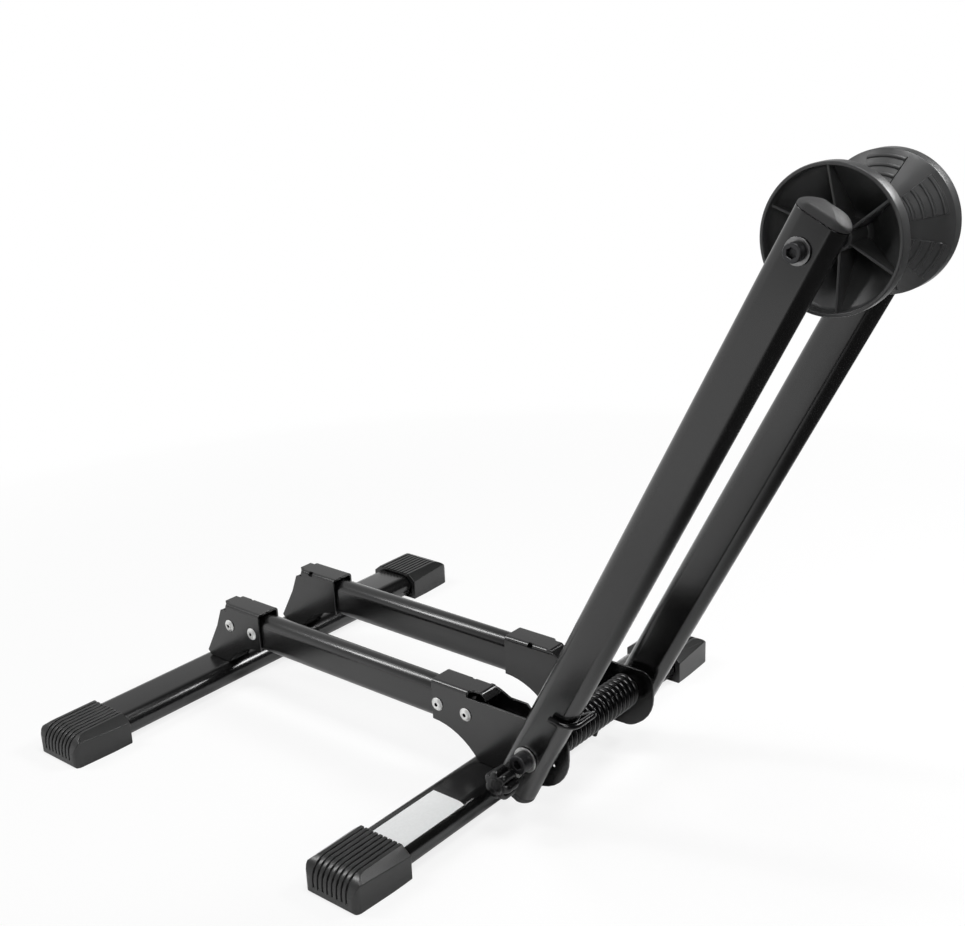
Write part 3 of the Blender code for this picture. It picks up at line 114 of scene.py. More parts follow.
class StandSizes(bpy.types.PropertyGroup):
    """Sizes that the frame's boxes don't give."""

    tube_wall: size("Tube wall", "Wall of every flat-oval tube", 0.0015)
    tube_edge: size("Tube edge", "Round on a tube's cut ends", 0.0003)
    arm_tilt: angle("Arm tilt", "Lean of the arms from upright", 27.44)
    arm_thick: size("Arm thickness", "Arm tube across its flat sides", 0.015)
    arm_depth: size("Arm depth", "Arm tube over its round sides", 0.030)
    arm_below: size("Arm below the pivot", "Tube end below the pivot", 0.0300)
    arm_above: size("Arm above the pivot", "Tube end above the pivot", 0.3965)
    plug_round: size("Plug dome", "Radius of the arm plugs' domes", 0.025)
    top_crown: size("Top plug height", "Dome above the tube's top end", 0.0070)
    foot_crown: size("Foot plug height", "Dome below the tube's foot", 0.0076)
    plug_fall: size("Plug fall", "Drop of a plug's dome towards the flat sides", 0.0012)
    plug_edge: size("Plug edge", "Round along a plug's dome", 0.0012)
    sheet_edge: size("Sheet edge", "Round on the brackets' cut edges", 0.00028)
    hole_turn: angle("Hole turn", "Second lock hole about the pivot, from the first", 62.5)
    hole_reach: size("Hole reach", "Everything this close to the second lock hole's axis belongs to it", 0.0036)
    hole_share: FloatProperty(name="Hole share", description="Second lock hole's width beside the first's",
                              default=0.6)
    cap_edge: size("Cap edge", "Round on the rubber caps' edges", 0.0004)
    rivet_head: size("Rivet head", "Radius of a rivet's head", 0.00475)
    roller_radius: size("Roller radius", "Rim of a cone roller", 0.0383)
    roller_band: size("Roller band", "Straight band at a roller's rim", 0.0085)
    roller_inner: size("Roller narrow end", "Radius of a roller's narrow end", 0.0110)
    wire: size("Spring wire", "Radius of the spring's wire", 0.0020)
    coil: size("Spring coil", "Radius of the spring, at the wire's centre", 0.0103)
    coil_near: size("Spring near end", "Near end of the coil from the middle plane", 0.0443)
    coil_far: size("Spring far end", "Far end of the coil from the middle plane", 0.0433)
    coil_turns: IntProperty(name="Spring turns", description="Whole turns of the spring", default=17)
    hook_along: size("Hook height", "Hook above the pivot, along the arm", 0.0470)
    hook_drop: size("Hook dip", "Dip of the hook's end on the arm's face", 0.0045)
    hook_end: size("Hook end", "Hook's end from the arm's centre line", 0.0019)
    hook_bend: size("Hook bend", "Radius of the bend above the coil", 0.0045)
    leg_past: size("Far leg end", "Far leg's run past where it meets the front tube", 0.0010)
    knob_radius: size("Knob radius", "Star knob over its lobes", 0.0104)
    knob_core: size("Knob core", "Radius of the star knob between its knuckles", 0.0070)
    knuckle: size("Knob knuckle", "Radius of one knuckle", 0.0030)


class StandColours(bpy.types.PropertyGroup):
    """Base colours of the finishes."""

    powder: colour("Powder coat", "Satin black coat on the steel", (0.0022, 0.0022, 0.0023))
    rubber: colour("Rubber", "Foot caps", (0.0080, 0.0082, 0.0082))
    plastic: colour("Plastic", "Star knob", (0.0035, 0.0035, 0.0036))
    plug: colour("Plug", "Plugs in the arms' ends", (0.0300, 0.0300, 0.0305))
    spacer: colour("Spacer", "Spacers and sleeve", (0.0100, 0.0100, 0.0105))
    roller: colour("Roller", "Moulded rollers", (0.0480, 0.0485, 0.0490))
    spring: colour("Spring", "Glossy coat on the wire", (0.0025, 0.0025, 0.0028))
    oxide: colour("Black oxide", "Socket bolts", (0.045, 0.045, 0.047))
    steel: colour("Dull steel", "Washers at the rollers", (0.22, 0.22, 0.22))
    zinc: colour("Zinc", "Washers and nuts", (0.60, 0.60, 0.59))
    alloy: colour("Alloy", "Rivets", (0.86, 0.86, 0.85))
    label: colour("Label", "Blank label on the front tube", (0.87, 0.88, 0.88))


class StandStage(bpy.types.PropertyGroup):
    """Camera and studio."""

    camera_place: FloatVectorProperty(name="Camera", description="Camera's place", subtype="XYZ", unit="LENGTH",
                                      default=(0.649386, 0.534540, 0.501926))
    azimuth: angle("Azimuth", "Camera's turn about the upright axis", 129.0)
    elevation: angle("Elevation", "Camera's height above the horizon", 19.857)
    roll: angle("Roll", "Camera's roll", -1.856)
    focal_px: FloatProperty(name="Focal length", description="In pixels of the photograph", default=1345.73)
    centre_x: FloatProperty(name="Centre across", description="Optical centre in pixels", default=512.45)
    centre_y: FloatProperty(name="Centre down", description="Optical centre in pixels", default=489.25)
    floor: colour("Floor", "Studio floor", (0.92, 0.92, 0.92))
    floor_glow: FloatProperty(name="Floor glow", description="Share of plain white close to the object",
                              default=0.82, min=0, max=1)


def sizes():
    """The sizes that a user may change."""
    return bpy.context.scene.stand_sizes


def arc(centre, radius, start, end, steps):
    """Points centre + radius (cos a, sin a) for angles a from start to end, in degrees."""
    a = np.radians(np.linspace(start, end, steps + 1))
    return np.stack([centre[0] + radius * np.cos(a), centre[1] + radius * np.sin(a)], axis=1)


def oval(long, short, steps):
    """A flat oval, long side along the first axis: two half circles of half the short side, joined straight."""
    radius = short / 2
    run = long / 2 - radius
    return np.concatenate([arc((run, 0), radius, -90, 90, steps), arc((-run, 0), radius, 90, 270, steps)])


def rounded(corners, radii, steps=5, closed=True):
    """An outline whose corners are replaced by arcs that touch both sides, at the given radii."""
    corners = np.asarray(corners, float)
    count = len(corners)
    made = []
    for i, (corner, radius) in enumerate(zip(corners, radii)):
        inside = closed or 0 < i < count - 1
        if not inside or radius == 0:
            made.append(corner[None])
            continue
        back = corners[i - 1] - corner
        ahead = corners[(i + 1) % count] - corner
        back /= np.linalg.norm(back)
        ahead /= np.linalg.norm(ahead)
        half = math.acos(np.clip(back @ ahead, -1, 1)) / 2
        reach = radius / math.tan(half)
        middle = back + ahead
        centre = corner + middle / np.linalg.norm(middle) * radius / math.sin(half)
        first = corner + back * reach - centre
        last = corner + ahead * reach - centre
        start = math.atan2(first[1], first[0])
        sweep = math.remainder(math.atan2(last[1], last[0]) - start, math.tau)
        a = start + sweep * np.linspace(0, 1, steps + 1)
        made.append(centre + radius * np.stack([np.cos(a), np.sin(a)], axis=1))
    return np.concatenate(made)


def offset(outline, distance):
    """A counter-clockwise outline moved outwards by a distance, along the mitre of its neighbouring sides."""
    side = np.roll(outline, -1, axis=0) - outline
    normal = np.stack([side[:, 1], -side[:, 0]], axis=1)
    normal /= np.maximum(np.linalg.norm(normal, axis=1, keepdims=True), 1e-12)
    before = np.roll(normal, 1, axis=0)
    mitre = (before + normal) / (1 + np.sum(before * normal, axis=1, keepdims=True))
    return outline + mitre * distance


def rim(low, high, edge):
    """Pairs (offset, height) up the side of a plate whose two rims are rounded by a quarter circle."""
    a = np.linspace(0, math.pi / 2, RIM_STEPS + 1)
    out = -edge * (1 - np.sin(a))
    up = edge * (1 - np.cos(a))
    foot = np.stack([out, low + up], axis=1)
    head = np.stack([out, high - up], axis=1)[::-1]
    return np.concatenate([foot, head])


def swept(outline, pairs):
    """Rings (u, v, height): the outline moved outwards by each pair's offset, at its height."""
    flat = np.stack([offset(outline, out) for out, _ in pairs])
    height = np.broadcast_to(pairs[:, 1, None, None], (*flat.shape[:2], 1))
    return np.concatenate([flat, height], axis=2)


def skin(rings, loop=False):
    """A closed surface over rings of points: quads between neighbouring rings, and a flat face at both ends.

    With loop the last ring joins the first, as on a hollow tube's wall. Faces are turned to point outwards.
    """
    count, around, _ = rings.shape
    index = np.arange(count * around).reshape(count, around)
    low = index if loop else index[:-1]
    high = np.roll(index, -1, axis=0) if loop else index[1:]
    quads = np.stack([low, np.roll(low, -1, axis=1), np.roll(high, -1, axis=1), high], axis=-1).reshape(-1, 4)
    faces = quads.tolist()
    if not loop:
        faces += [index[0, ::-1].tolist(), index[-1].tolist()]
    return outward((rings.reshape(-1, 3), faces))


def volume(points, faces):
    """Signed volume of a closed surface: the sum of its fans' triple products, over six."""
    middle = points.mean(axis=0)
    total = 0.0
    by_count = {}
    for face in faces:
        by_count.setdefault(len(face), []).append(face)
    for count, group in by_count.items():
        p = points[np.array(group)] - middle
        for i in range(1, count - 1):
            total += np.sum(np.cross(p[:, i], p[:, i + 1]) * p[:, 0]) / 6
    return total


def outward(surface):
    """The same closed surface with its faces pointing out, which is where its volume is above zero."""
    points, faces = surface
    return points, faces if volume(points, faces) > 0 else [face[::-1] for face in faces]


def merged(*surfaces):
    """Several closed surfaces as one."""
    points, faces, start = [], [], 0
    for part_points, part_faces in surfaces:
        points.append(part_points)
        faces += [[index + start for index in face] for face in part_faces]
        start += len(part_points)
    return np.concatenate(points), faces


def moved(surface, shift, order=(0, 1, 2), half_turn=False):
    """A surface with its axes taken in an order, turned half round the upright axis if asked, and shifted."""
    points, faces = surface
    points = points[:, order]
    if half_turn:
        points = points * (-1, -1, 1)
    return points + shift, faces


def plate(outline, low, high, edge):
    """A solid plate with rounded rims: the outline carried up the rim's pairs."""
    return skin(swept(outline, rim(low, high, edge)))


def tube(outline, low, high, wall, edge):
    """A hollow tube with rounded ends: up the outer rim's pairs, and down the same pairs a wall further in."""
    outer = rim(low, high, edge)
    inner = rim(low, high, edge)[::-1] * (-1, 1) - (wall, 0)
    return skin(swept(outline, np.concatenate([outer, inner])), loop=True)


def turned(profile, steps, loop=False, radius_at=None):
    """A profile of (radius, x) turned about the X axis: (x, r cos a, r sin a).

    radius_at may shape each ring: it takes the profile's radii and the angles, and gives the radii.
    """
    profile = np.asarray(profile, float)
    a = np.linspace(0, math.tau, steps, endpoint=False)
    radius = np.broadcast_to(profile[:, :1], (len(profile), steps))
    if radius_at:
        radius = radius_at(radius, a)
    x = np.broadcast_to(profile[:, 1:], radius.shape)
    return skin(np.stack([x, radius * np.cos(a), radius * np.sin(a)], axis=2), loop)


def lean(points):
    """From the arm's own axes (x, across, along) to the world, about the pivot."""
    tilt = sizes().arm_tilt
    across, along = points[..., 1], points[..., 2]
    return np.stack([points[..., 0],
                     PIVOT[1] + across * math.cos(tilt) + along * math.sin(tilt),
                     PIVOT[2] - across * math.sin(tilt) + along * math.cos(tilt)], axis=-1)


def leaning(surface):
    """A surface taken from the arm's own axes to the world."""
    return lean(surface[0]), surface[1]


def points_of(mesh):
    """A mesh's points as rows (x, y, z)."""
    flat = np.empty(3 * len(mesh.vertices), np.float32)
    mesh.vertices.foreach_get("co", flat)
    return flat.reshape(-1, 3).astype(float)


def finish_mesh(mesh, sharp):
    """Weld the seams and poles, drop faces without area, and shade smooth up to an angle in degrees."""
    bm = bmesh.new()
    bm.from_mesh(mesh)
    bmesh.ops.remove_doubles(bm, verts=bm.verts, dist=WELD)
    bmesh.ops.dissolve_degenerate(bm, edges=bm.edges, dist=WELD)
    bm.to_mesh(mesh)
    bm.free()
    mesh.shade_smooth()
    mesh.set_sharp_from_angle(angle=math.radians(sharp))


def mesh_of(name, surface, sharp):
    """A finished mesh from a closed surface."""
    points, faces = surface
    mesh = bpy.data.meshes.new(name)
    mesh.from_pydata(points, [], faces)
    finish_mesh(mesh, sharp)
    return mesh


def place(name, mesh, look, body, *nodes):
    """An object from a finished mesh, on its body and with its look, that stands for CAD nodes if any are given."""
    mesh.materials.clear()
    mesh.materials.append(finish(look))
    piece = bpy.data.objects.new(name, mesh)
    bpy.context.scene.collection.objects.link(piece)
    if body:
        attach(piece, body)
    if nodes:
        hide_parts(*nodes)
    return piece


def put(node, surface, look, body, sharp=EDGE_ANGLE):
    """A CAD node's fine surface, which stands for the node."""
    name = f"{node}_fine"
    return place(name, mesh_of(name, surface, sharp), look, body, node)


def refined(node, edge, look, body):
    """A copy of a CAD node with its triangles merged into flat faces and its edges rounded."""
    name = f"{node}_fine"
    mesh = frame["nodes"][node].data.copy()
    mesh.name = name
    if mesh.has_custom_normals:
        mesh.attributes.remove(mesh.attributes["custom_normal"])
    bm = bmesh.new()
    bm.from_mesh(mesh)
    bmesh.ops.remove_doubles(bm, verts=bm.verts, dist=CAD_WELD)
    bmesh.ops.dissolve_limit(bm, angle_limit=math.radians(FLAT_ANGLE), verts=bm.verts, edges=bm.edges)
    bm.to_mesh(mesh)
    bm.free()
    helper = bpy.data.objects.new(name, mesh)
    bpy.context.scene.collection.objects.link(helper)
    bevel = helper.modifiers.new("edges", "BEVEL")
    bevel.width = edge
    bevel.segments = 2
    bevel.limit_method = "ANGLE"
    bevel.angle_limit = math.radians(EDGE_ANGLE)
    bevel.use_clamp_overlap = False
    bevel.harden_normals = False
    bpy.context.view_layer.update()
    shaped = bpy.data.meshes.new_from_object(helper.evaluated_get(bpy.context.evaluated_depsgraph_get()))
    bpy.data.objects.remove(helper)
    bpy.data.meshes.remove(mesh)
    shaped.name = name
    finish_mesh(shaped, BEVEL_ANGLE)
    made = place(name, shaped, look, body, node)
    flat = made.modifiers.new("flat faces", "WEIGHTED_NORMAL")
    flat.mode = "FACE_AREA"
    flat.weight = 50
    flat.keep_sharp = True
    return made


class Signal:
    """A shader socket on which arithmetic adds Math nodes."""

    def __init__(self, nodes, socket):
        self.nodes = nodes
        self.socket = socket

    def math(self, operation, *others):
        """A Math node on this signal and the others."""
        inputs = dict(enumerate((self, *others)))
        return self.nodes.node("ShaderNodeMath", {"operation": operation}, inputs, "Value")

    def __add__(self, other):
        return self.math("ADD", other)

    def __mul__(self, other):
        return self.math("MULTIPLY", other)

    def __sub__(self, other):
        return self.math("SUBTRACT", other)

    def __rsub__(self, other):
        return (self * -1) + other

    __radd__ = __add__
    __rmul__ = __mul__


class Nodes:
    """A node tree whose nodes all come from one method."""

    def __init__(self, tree):
        self.tree = tree

    def node(self, kind, settings, inputs, output=None):
        """Any node: its settings are set first, then the values or links of its sockets."""
        made = self.tree.nodes.new(kind)
        for key, value in settings.items():
            setattr(made, key, value)
        for key, value in inputs.items():
            self.feed(made.inputs[key], value)
        return None if output is None else Signal(self, made.outputs[output])

    def feed(self, socket, value):
        """A link from a signal, or else a constant on the socket."""
        if isinstance(value, Signal):
            self.tree.links.new(value.socket, socket)
        else:
            socket.default_value = value

    def spread(self, signal, low, high):
        """The signal between two levels, stretched to run from 0 to 1 and cut off there."""
        inputs = {"Value": signal, "From Min": low, "From Max": high}
        return self.node("ShaderNodeMapRange", {"interpolation_type": "SMOOTHSTEP"}, inputs, "Result")

    def seen(self):
        """1 for what the camera, a reflection or clear glass looks at, and 0 for what lights the object."""
        tests = [self.node("ShaderNodeLightPath", {}, {}, f"Is {kind} Ray")
                 for kind in ("Camera", "Glossy", "Transmission")]
        return tests[0].math("MAXIMUM", tests[1]).math("MAXIMUM", tests[2])

    def object_place(self):
        """The point's Object coordinates."""
        return self.node("ShaderNodeTexCoord", {}, {}, "Object")

    def part(self, vector, axis):
        """One of a vector's three parts."""
        return self.node("ShaderNodeSeparateXYZ", {}, {0: vector}, axis)


class Finish(Nodes):
    """One procedural material on a Principled shader, with patterns in Object coordinates."""

    def __init__(self, name, base, metallic=0.0, specular=0.5):
        self.material = bpy.data.materials.new(name)
        self.material.use_nodes = True
        super().__init__(self.material.node_tree)
        self.shader = self.tree.nodes["Principled BSDF"]
        self.give("Base Color", shade(base))
        self.give("Metallic", metallic)
        self.give("Specular IOR Level", specular)
        self.material.diffuse_color = shade(base)

    def give(self, name, value):
        """A value or a link on the Principled shader."""
        self.feed(self.shader.inputs[name], value)

    def noise(self, cell, detail, stretch=None, rough=0.5):
        """Noise whose cells are about this wide in metres, on Object coordinates that are stretched if asked."""
        here = self.object_place()
        if stretch:
            here = self.node("ShaderNodeMapping", {}, {"Vector": here, "Scale": stretch}, "Vector")
        inputs = {"Vector": here, "Scale": 1 / cell, "Detail": detail, "Roughness": rough}
        return self.node("ShaderNodeTexNoise", {}, inputs, "Fac")

    def mixed(self, mask, first, second):
        """One colour or signal turning into another where the mask is 1."""
        inputs = {"Factor": mask, 6: first, 7: second}
        return self.node("ShaderNodeMix", {"data_type": "RGBA"}, inputs, 2)

    def bump(self, height, depth, strength):
        """Small unevenness as deep as depth, in metres, where the height is 1."""
        inputs = {"Height": height, "Distance": depth, "Strength": strength}
        return self.node("ShaderNodeBump", {}, inputs, "Normal")


def shade(base, factor=1.0):
    """A base colour times a factor, with full alpha."""
    return (*(min(1.0, channel * factor) for channel in base), 1)


def powder_coat(base):
    """Satin black powder coat: a fine orange peel, and a little cloudiness in its gloss."""
    made = Finish("black powder coat", base, specular=0.8)
    peel = made.noise(cell=0.0011, detail=2.0)
    grain = made.noise(cell=0.00025, detail=1.0)
    cloud = made.spread(made.noise(cell=0.030, detail=3.0), 0.35, 0.65)
    made.give("Roughness", 0.19 + cloud * 0.03 + grain * 0.04)
    made.give("Base Color", made.mixed(cloud, shade(base), shade(base, 1.18)))
    made.give("Normal", made.bump(peel + grain * 0.35, depth=0.00001, strength=0.25))
    return made.material


def rubber(base):
    """Moulded rubber with a soft sheen, a fine tooth and a faint bloom."""
    made = Finish("black rubber", base, specular=0.6)
    tooth = made.noise(cell=0.00035, detail=3.0, rough=0.65)
    bloom = made.spread(made.noise(cell=0.012, detail=4.0), 0.40, 0.72)
    made.give("Roughness", 0.24 + tooth * 0.10)
    made.give("Base Color", made.mixed(bloom, shade(base), shade(base, 1.35)))
    made.give("Normal", made.bump(tooth, depth=0.00003, strength=0.5))
    return made.material


def moulded_plastic(base, name, roughness, grain=0.00028):
    """Spark-eroded plastic: a pebbled grain under a slightly uneven sheen."""
    made = Finish(name, base)
    pebble = made.noise(cell=grain, detail=2.0, rough=0.6)
    flow = made.spread(made.noise(cell=0.009, detail=2.0, stretch=(1.0, 1.0, 0.4)), 0.35, 0.70)
    made.give("Roughness", roughness - 0.04 + flow * 0.07 + pebble * 0.04)
    made.give("Base Color", made.mixed(flow, shade(base), shade(base, 1.15)))
    made.give("Normal", made.bump(pebble, depth=0.000025, strength=0.6))
    return made.material


def spring_coat(base):
    """Glossy black coat on drawn wire."""
    made = Finish("black spring coat", base)
    ripple = made.noise(cell=0.0030, detail=2.0)
    made.give("Roughness", 0.13 + ripple * 0.10)
    made.give("Normal", made.bump(ripple, depth=0.00003, strength=0.4))
    return made.material


def black_oxide(base):
    """Black oxide on machined steel, with fine turning marks."""
    made = Finish("black oxide", base, metallic=0.75)
    marks = made.noise(cell=0.00030, detail=2.0, stretch=(3.0, 1.0, 1.0))
    made.give("Roughness", 0.28 + marks * 0.16)
    made.give("Normal", made.bump(marks, depth=0.000015, strength=0.5))
    return made.material


def plated(base, name, wear=1.0, roughness=0.24):
    """Plated steel: brushed a little, cloudy with handling, and painted shade where a mesh's "bore" attribute is 1.
    """
    made = Finish(name, base, metallic=1.0)
    bore = made.node("ShaderNodeAttribute", {"attribute_name": "bore"}, {}, "Fac")
    marks = made.noise(cell=0.00040, detail=2.0, stretch=(2.5, 1.0, 1.0))
    cloud = made.spread(made.noise(cell=0.0025, detail=3.0), 0.35, 0.70)
    made.give("Roughness", roughness + marks * 0.10 + cloud * 0.10)
    worn = made.mixed(cloud, shade(base), shade(base, 1 - 0.22 * wear))
    # Painted shade: near black where the bore mask is 1, down a rivet's hole.
    made.give("Base Color", made.mixed(bore, worn, shade((0.01, 0.01, 0.01))))
    made.give("Normal", made.bump(marks, depth=0.00002, strength=0.4 * wear))
    return made.material


def label_film(base):
    """Satin film of a blank label, with a faint paper mottle."""
    made = Finish("label film", base)
    mottle = made.noise(cell=0.0016, detail=4.0)
    made.give("Base Color", made.mixed(made.spread(mottle, 0.35, 0.65), shade(base, 0.96), shade(base)))
    made.give("Roughness", 0.38 + mottle * 0.08)
    return made.material


# Each look: its material slot, the function that makes its material, and that function's values.
LOOKS = {
    "powder": ("black_powder_coat", powder_coat, {}),
    "rubber": ("black_rubber", rubber, {}),
    "plastic": ("black_plastic", moulded_plastic, {"name": "black plastic", "roughness": 0.26}),
    "plug": ("black_plastic", moulded_plastic, {"name": "plug plastic", "roughness": 0.56}),
    "spacer": ("spacer_plastic", moulded_plastic, {"name": "spacer plastic", "roughness": 0.48}),
    "roller": ("roller_plastic", moulded_plastic, {"name": "roller plastic", "roughness": 0.34, "grain": 0.0004}),
    "spring": ("spring_steel", spring_coat, {}),
    "oxide": ("black_oxide", black_oxide, {}),
    "zinc": ("zinc_plate", plated, {"name": "zinc plate"}),
    "steel": ("zinc_plate", plated, {"name": "dull steel"}),
    "alloy": ("zinc_plate", plated, {"name": "rivet alloy", "wear": 0.2, "roughness": 0.42}),
    "label": ("black_powder_coat", label_film, {}),
}
FINISHES = {}


def finish(look):
    """Each material is made once, when a piece first asks for it, from the colour of the same name."""
    if look not in FINISHES:
        _, maker, values = LOOKS[look]
        FINISHES[look] = maker(tuple(getattr(bpy.context.scene.stand_colours, look)), **values)
    return FINISHES[look]


def middle_of(node):
    """The middle of a CAD node's box, and its size along each axis."""
    low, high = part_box(node)
    return np.array((low + high) / 2), np.array(high - low)


def span_x(node):
    """Where a CAD node's box starts and ends along X."""
    low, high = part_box(node)
    return low.x, high.x


def straight_tube(node, order):
    """A hollow flat oval that fills its node's box, with (long side, short side, length) laid in an order."""
    s = sizes()
    centre, span = middle_of(node)
    long, short, length = (span[order.index(part)] for part in range(3))
    surface = tube(oval(long, short, TUBE_STEPS), -length / 2, length / 2, s.tube_wall, s.tube_edge)
    put(node, moved(surface, centre, order), "powder", "base")


class BIKE_STAND_OT_cross_tubes(bpy.types.Operator):
    """Two flat-oval cross tubes."""

    bl_idname = "bike_stand.cross_tubes"
    bl_label = "Cross tubes"

    def execute(self, context):
        for end in ENDS:
            straight_tube(f"{end}_cross_tube", ALONG_X)
        return {"FINISHED"}


class BIKE_STAND_OT_foot_caps(bpy.types.Operator):
    """Four ribbed rubber caps."""

    bl_idname = "bike_stand.foot_caps"
    bl_label = "Foot caps"

    def execute(self, context):
        for end in ENDS:
            for side, _ in SIDES:
                refined(f"foot_cap_{end}_{side}", sizes().cap_edge, "rubber", "base")
        return {"FINISHED"}


class BIKE_STAND_OT_rails(bpy.types.Operator):
    """Two straight flat-oval rails, on edge."""

    bl_idname = "bike_stand.rails"
    bl_label = "Rails"

    def execute(self, context):
        for side, _ in SIDES:
            straight_tube(f"rail_{side}", ALONG_Y)
        return {"FINISHED"}


class BIKE_STAND_OT_brackets(bpy.types.Operator):
    """Four folded sheet brackets."""

    bl_idname = "bike_stand.brackets"
    bl_label = "Brackets"

    def execute(self, context):
        for end in ENDS:
            for side, _ in SIDES:
                node = f"{end}_bracket_{side}"
                piece = refined(node, sizes().sheet_edge, "powder", "base")
                if node == "front_bracket_near":
                    self.narrow_hole(piece.data)
        return {"FINISHED"}

    def narrow_hole(self, mesh):
        """Points within hole_reach of the second lock hole's axis come closer to it, by hole_share."""
        s = sizes()
        stud = np.array(JOINTS["lock_knob_turn"]["pos_m"])[1:] - PIVOT[1:]
        turn = s.hole_turn
        axis = PIVOT[1:] + (stud[0] * math.cos(turn) - stud[1] * math.sin(turn),
                            stud[0] * math.sin(turn) + stud[1] * math.cos(turn))
        points = points_of(mesh)
        away = points[:, 1:] - axis
        near = np.linalg.norm(away, axis=1) < s.hole_reach
        points[near, 1:] = axis + away[near] * s.hole_share
        mesh.vertices.foreach_set("co", points.ravel())
        mesh.update()


class BIKE_STAND_OT_rivets(bpy.types.Operator):
    """Eight blind rivets."""

    bl_idname = "bike_stand.rivets"
    bl_label = "Rivets"

    shank = 0.0024          # radii
    crown = 0.0030
    hole = 0.0013
    hole_depth = 0.0022
    head_height = 0.0016
    head_side = 0.0003      # the upright part of the head's rim
    crown_drop = 0.0001
    rounds = (0, 0.0002, 0.00025, 0.0012, 0.0003, 0.0001, 0, 0.0004, 0)
    # The hole's own points, this near its radius and this deep, get the painted shade.
    hole_shade_slack = 0.00005    # the hole's own points lie this near its radius
    hole_shade_depth = 0.0030

    def execute(self, context):
        for side, sign in SIDES:
            for end in ENDS:
                for i in (1, 2):
                    self.rivet(f"rivet_{end}_{i}_{side}", sign)
        return {"FINISHED"}

    def rivet(self, node, sign):
        """A domed head with painted shade in the hole where the pulled pin broke off, on a plain shank, turned about
        X.
        """
        low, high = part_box(node)
        top = max(abs(low.x), abs(high.x))
        foot = top - abs(high.x - low.x)
        seat, floor = top - self.head_height, top - self.hole_depth
        crown_x, head = top - self.crown_drop, sizes().rivet_head
        corners = [(0, floor), (self.hole, floor), (self.hole, crown_x), (self.crown, crown_x),
                   (head, seat + self.head_side), (head, seat), (self.shank, seat), (self.shank, foot), (0, foot)]
        centre = ((low + high) / 2).yz
        surface = turned(rounded(corners, self.rounds, closed=False), steps=48)
        piece = put(node, moved(surface, (0, *centre), half_turn=sign < 0), "alloy", "base")
        # Points down the hole are marked for the painted shade in the rivet's finish.
        points = points_of(piece.data)
        radius = np.hypot(points[:, 1] - centre[0], points[:, 2] - centre[1])
        inside = (radius < self.hole + self.hole_shade_slack) & (np.abs(points[:, 0]) > top - self.hole_shade_depth)
        piece.data.attributes.new("bore", "FLOAT", "POINT").data.foreach_set("value", inside.astype(float))


def arm_outline():
    """The arm tube's flat oval (x, across), with its long side across."""
    s = sizes()
    return oval(s.arm_depth, s.arm_thick, ARM_STEPS)[:, ::-1] * (-1, 1)


def arm_x(side):
    """The arm's middle along X."""
    return middle_of(f"arm_{side}")[0][0]


class BIKE_STAND_OT_arms(bpy.types.Operator):
    """Two arm tubes."""

    bl_idname = "bike_stand.arms"
    bl_label = "Arms"

    def execute(self, context):
        s = sizes()
        for side, _ in SIDES:
            surface = tube(arm_outline(), -s.arm_below, s.arm_above, s.tube_wall, s.tube_edge)
            put(f"arm_{side}", leaning(moved(surface, (arm_x(side), 0, 0))), "powder", "arms")
        return {"FINISHED"}


class BIKE_STAND_OT_arm_plugs(bpy.types.Operator):
    """Four domed plugs in the arms' ends."""

    bl_idname = "bike_stand.arm_plugs"
    bl_label = "Arm plugs"

    seam = 0.00015          # small step at the tube's end
    stub = 0.010            # length inside the tube
    edge_points = 6
    dome_shares = (0.93, 0.8, 0.65, 0.5, 0.35, 0.2, 0.08, 0.0)

    def execute(self, context):
        s = sizes()
        ends = (("top", s.arm_above, s.top_crown, 1), ("foot", -s.arm_below, s.foot_crown, -1))
        for side, _ in SIDES:
            for end, start, crown, towards in ends:
                points, faces = self.plug(crown)
                surface = outward((points * (1, 1, towards) + (arm_x(side), 0, start), faces))
                put(f"arm_{end}_plug_{side}", leaning(surface), "plug", "arms")
        return {"FINISHED"}

    def plug(self, crown):
        """The tube's own oval, up to a dome that is round both ways, with a rounded edge between them.

        The side rises to height(x, across) = crown - R + sqrt(R^2 - across^2) - fall (x / half)^2, less the
        edge's radius. The edge turns inwards along a quarter circle, and the top keeps that height while the
        oval shrinks to its middle.
        """
        s = sizes()
        outline = arm_outline()
        edge = s.plug_edge

        def height(flat):
            """The dome's height over each point of a flat ring."""
            dome = crown - s.plug_round + np.sqrt(s.plug_round ** 2 - flat[:, 1] ** 2)
            return dome - s.plug_fall * (flat[:, 0] / (s.arm_thick / 2)) ** 2

        inner = -(s.tube_wall + FIT_GAP)
        levels = ((inner, -self.stub), (inner, FIT_GAP), (-self.seam, FIT_GAP), (0, FIT_GAP + self.seam))
        flats = [(offset(outline, out), up) for out, up in levels]
        rows = [np.column_stack([flat, np.full(len(flat), up)]) for flat, up in flats]
        for a in np.linspace(0, math.pi / 2, self.edge_points):
            flat = offset(outline, -edge * (1 - math.cos(a)))
            rows.append(np.column_stack([flat, height(flat) - edge * (1 - math.sin(a))]))
        for share in self.dome_shares:
            flat = offset(outline, -edge) * share
            rows.append(np.column_stack([flat, height(flat)]))
        return skin(np.stack(rows))


def hexagon(radius, a):
    """Distance from the middle to a hexagon's side at each angle, for a corner radius."""
    side = radius * math.cos(math.pi / 6)
    return side / np.cos((a + math.pi / 6) % (math.pi / 3) - math.pi / 6)


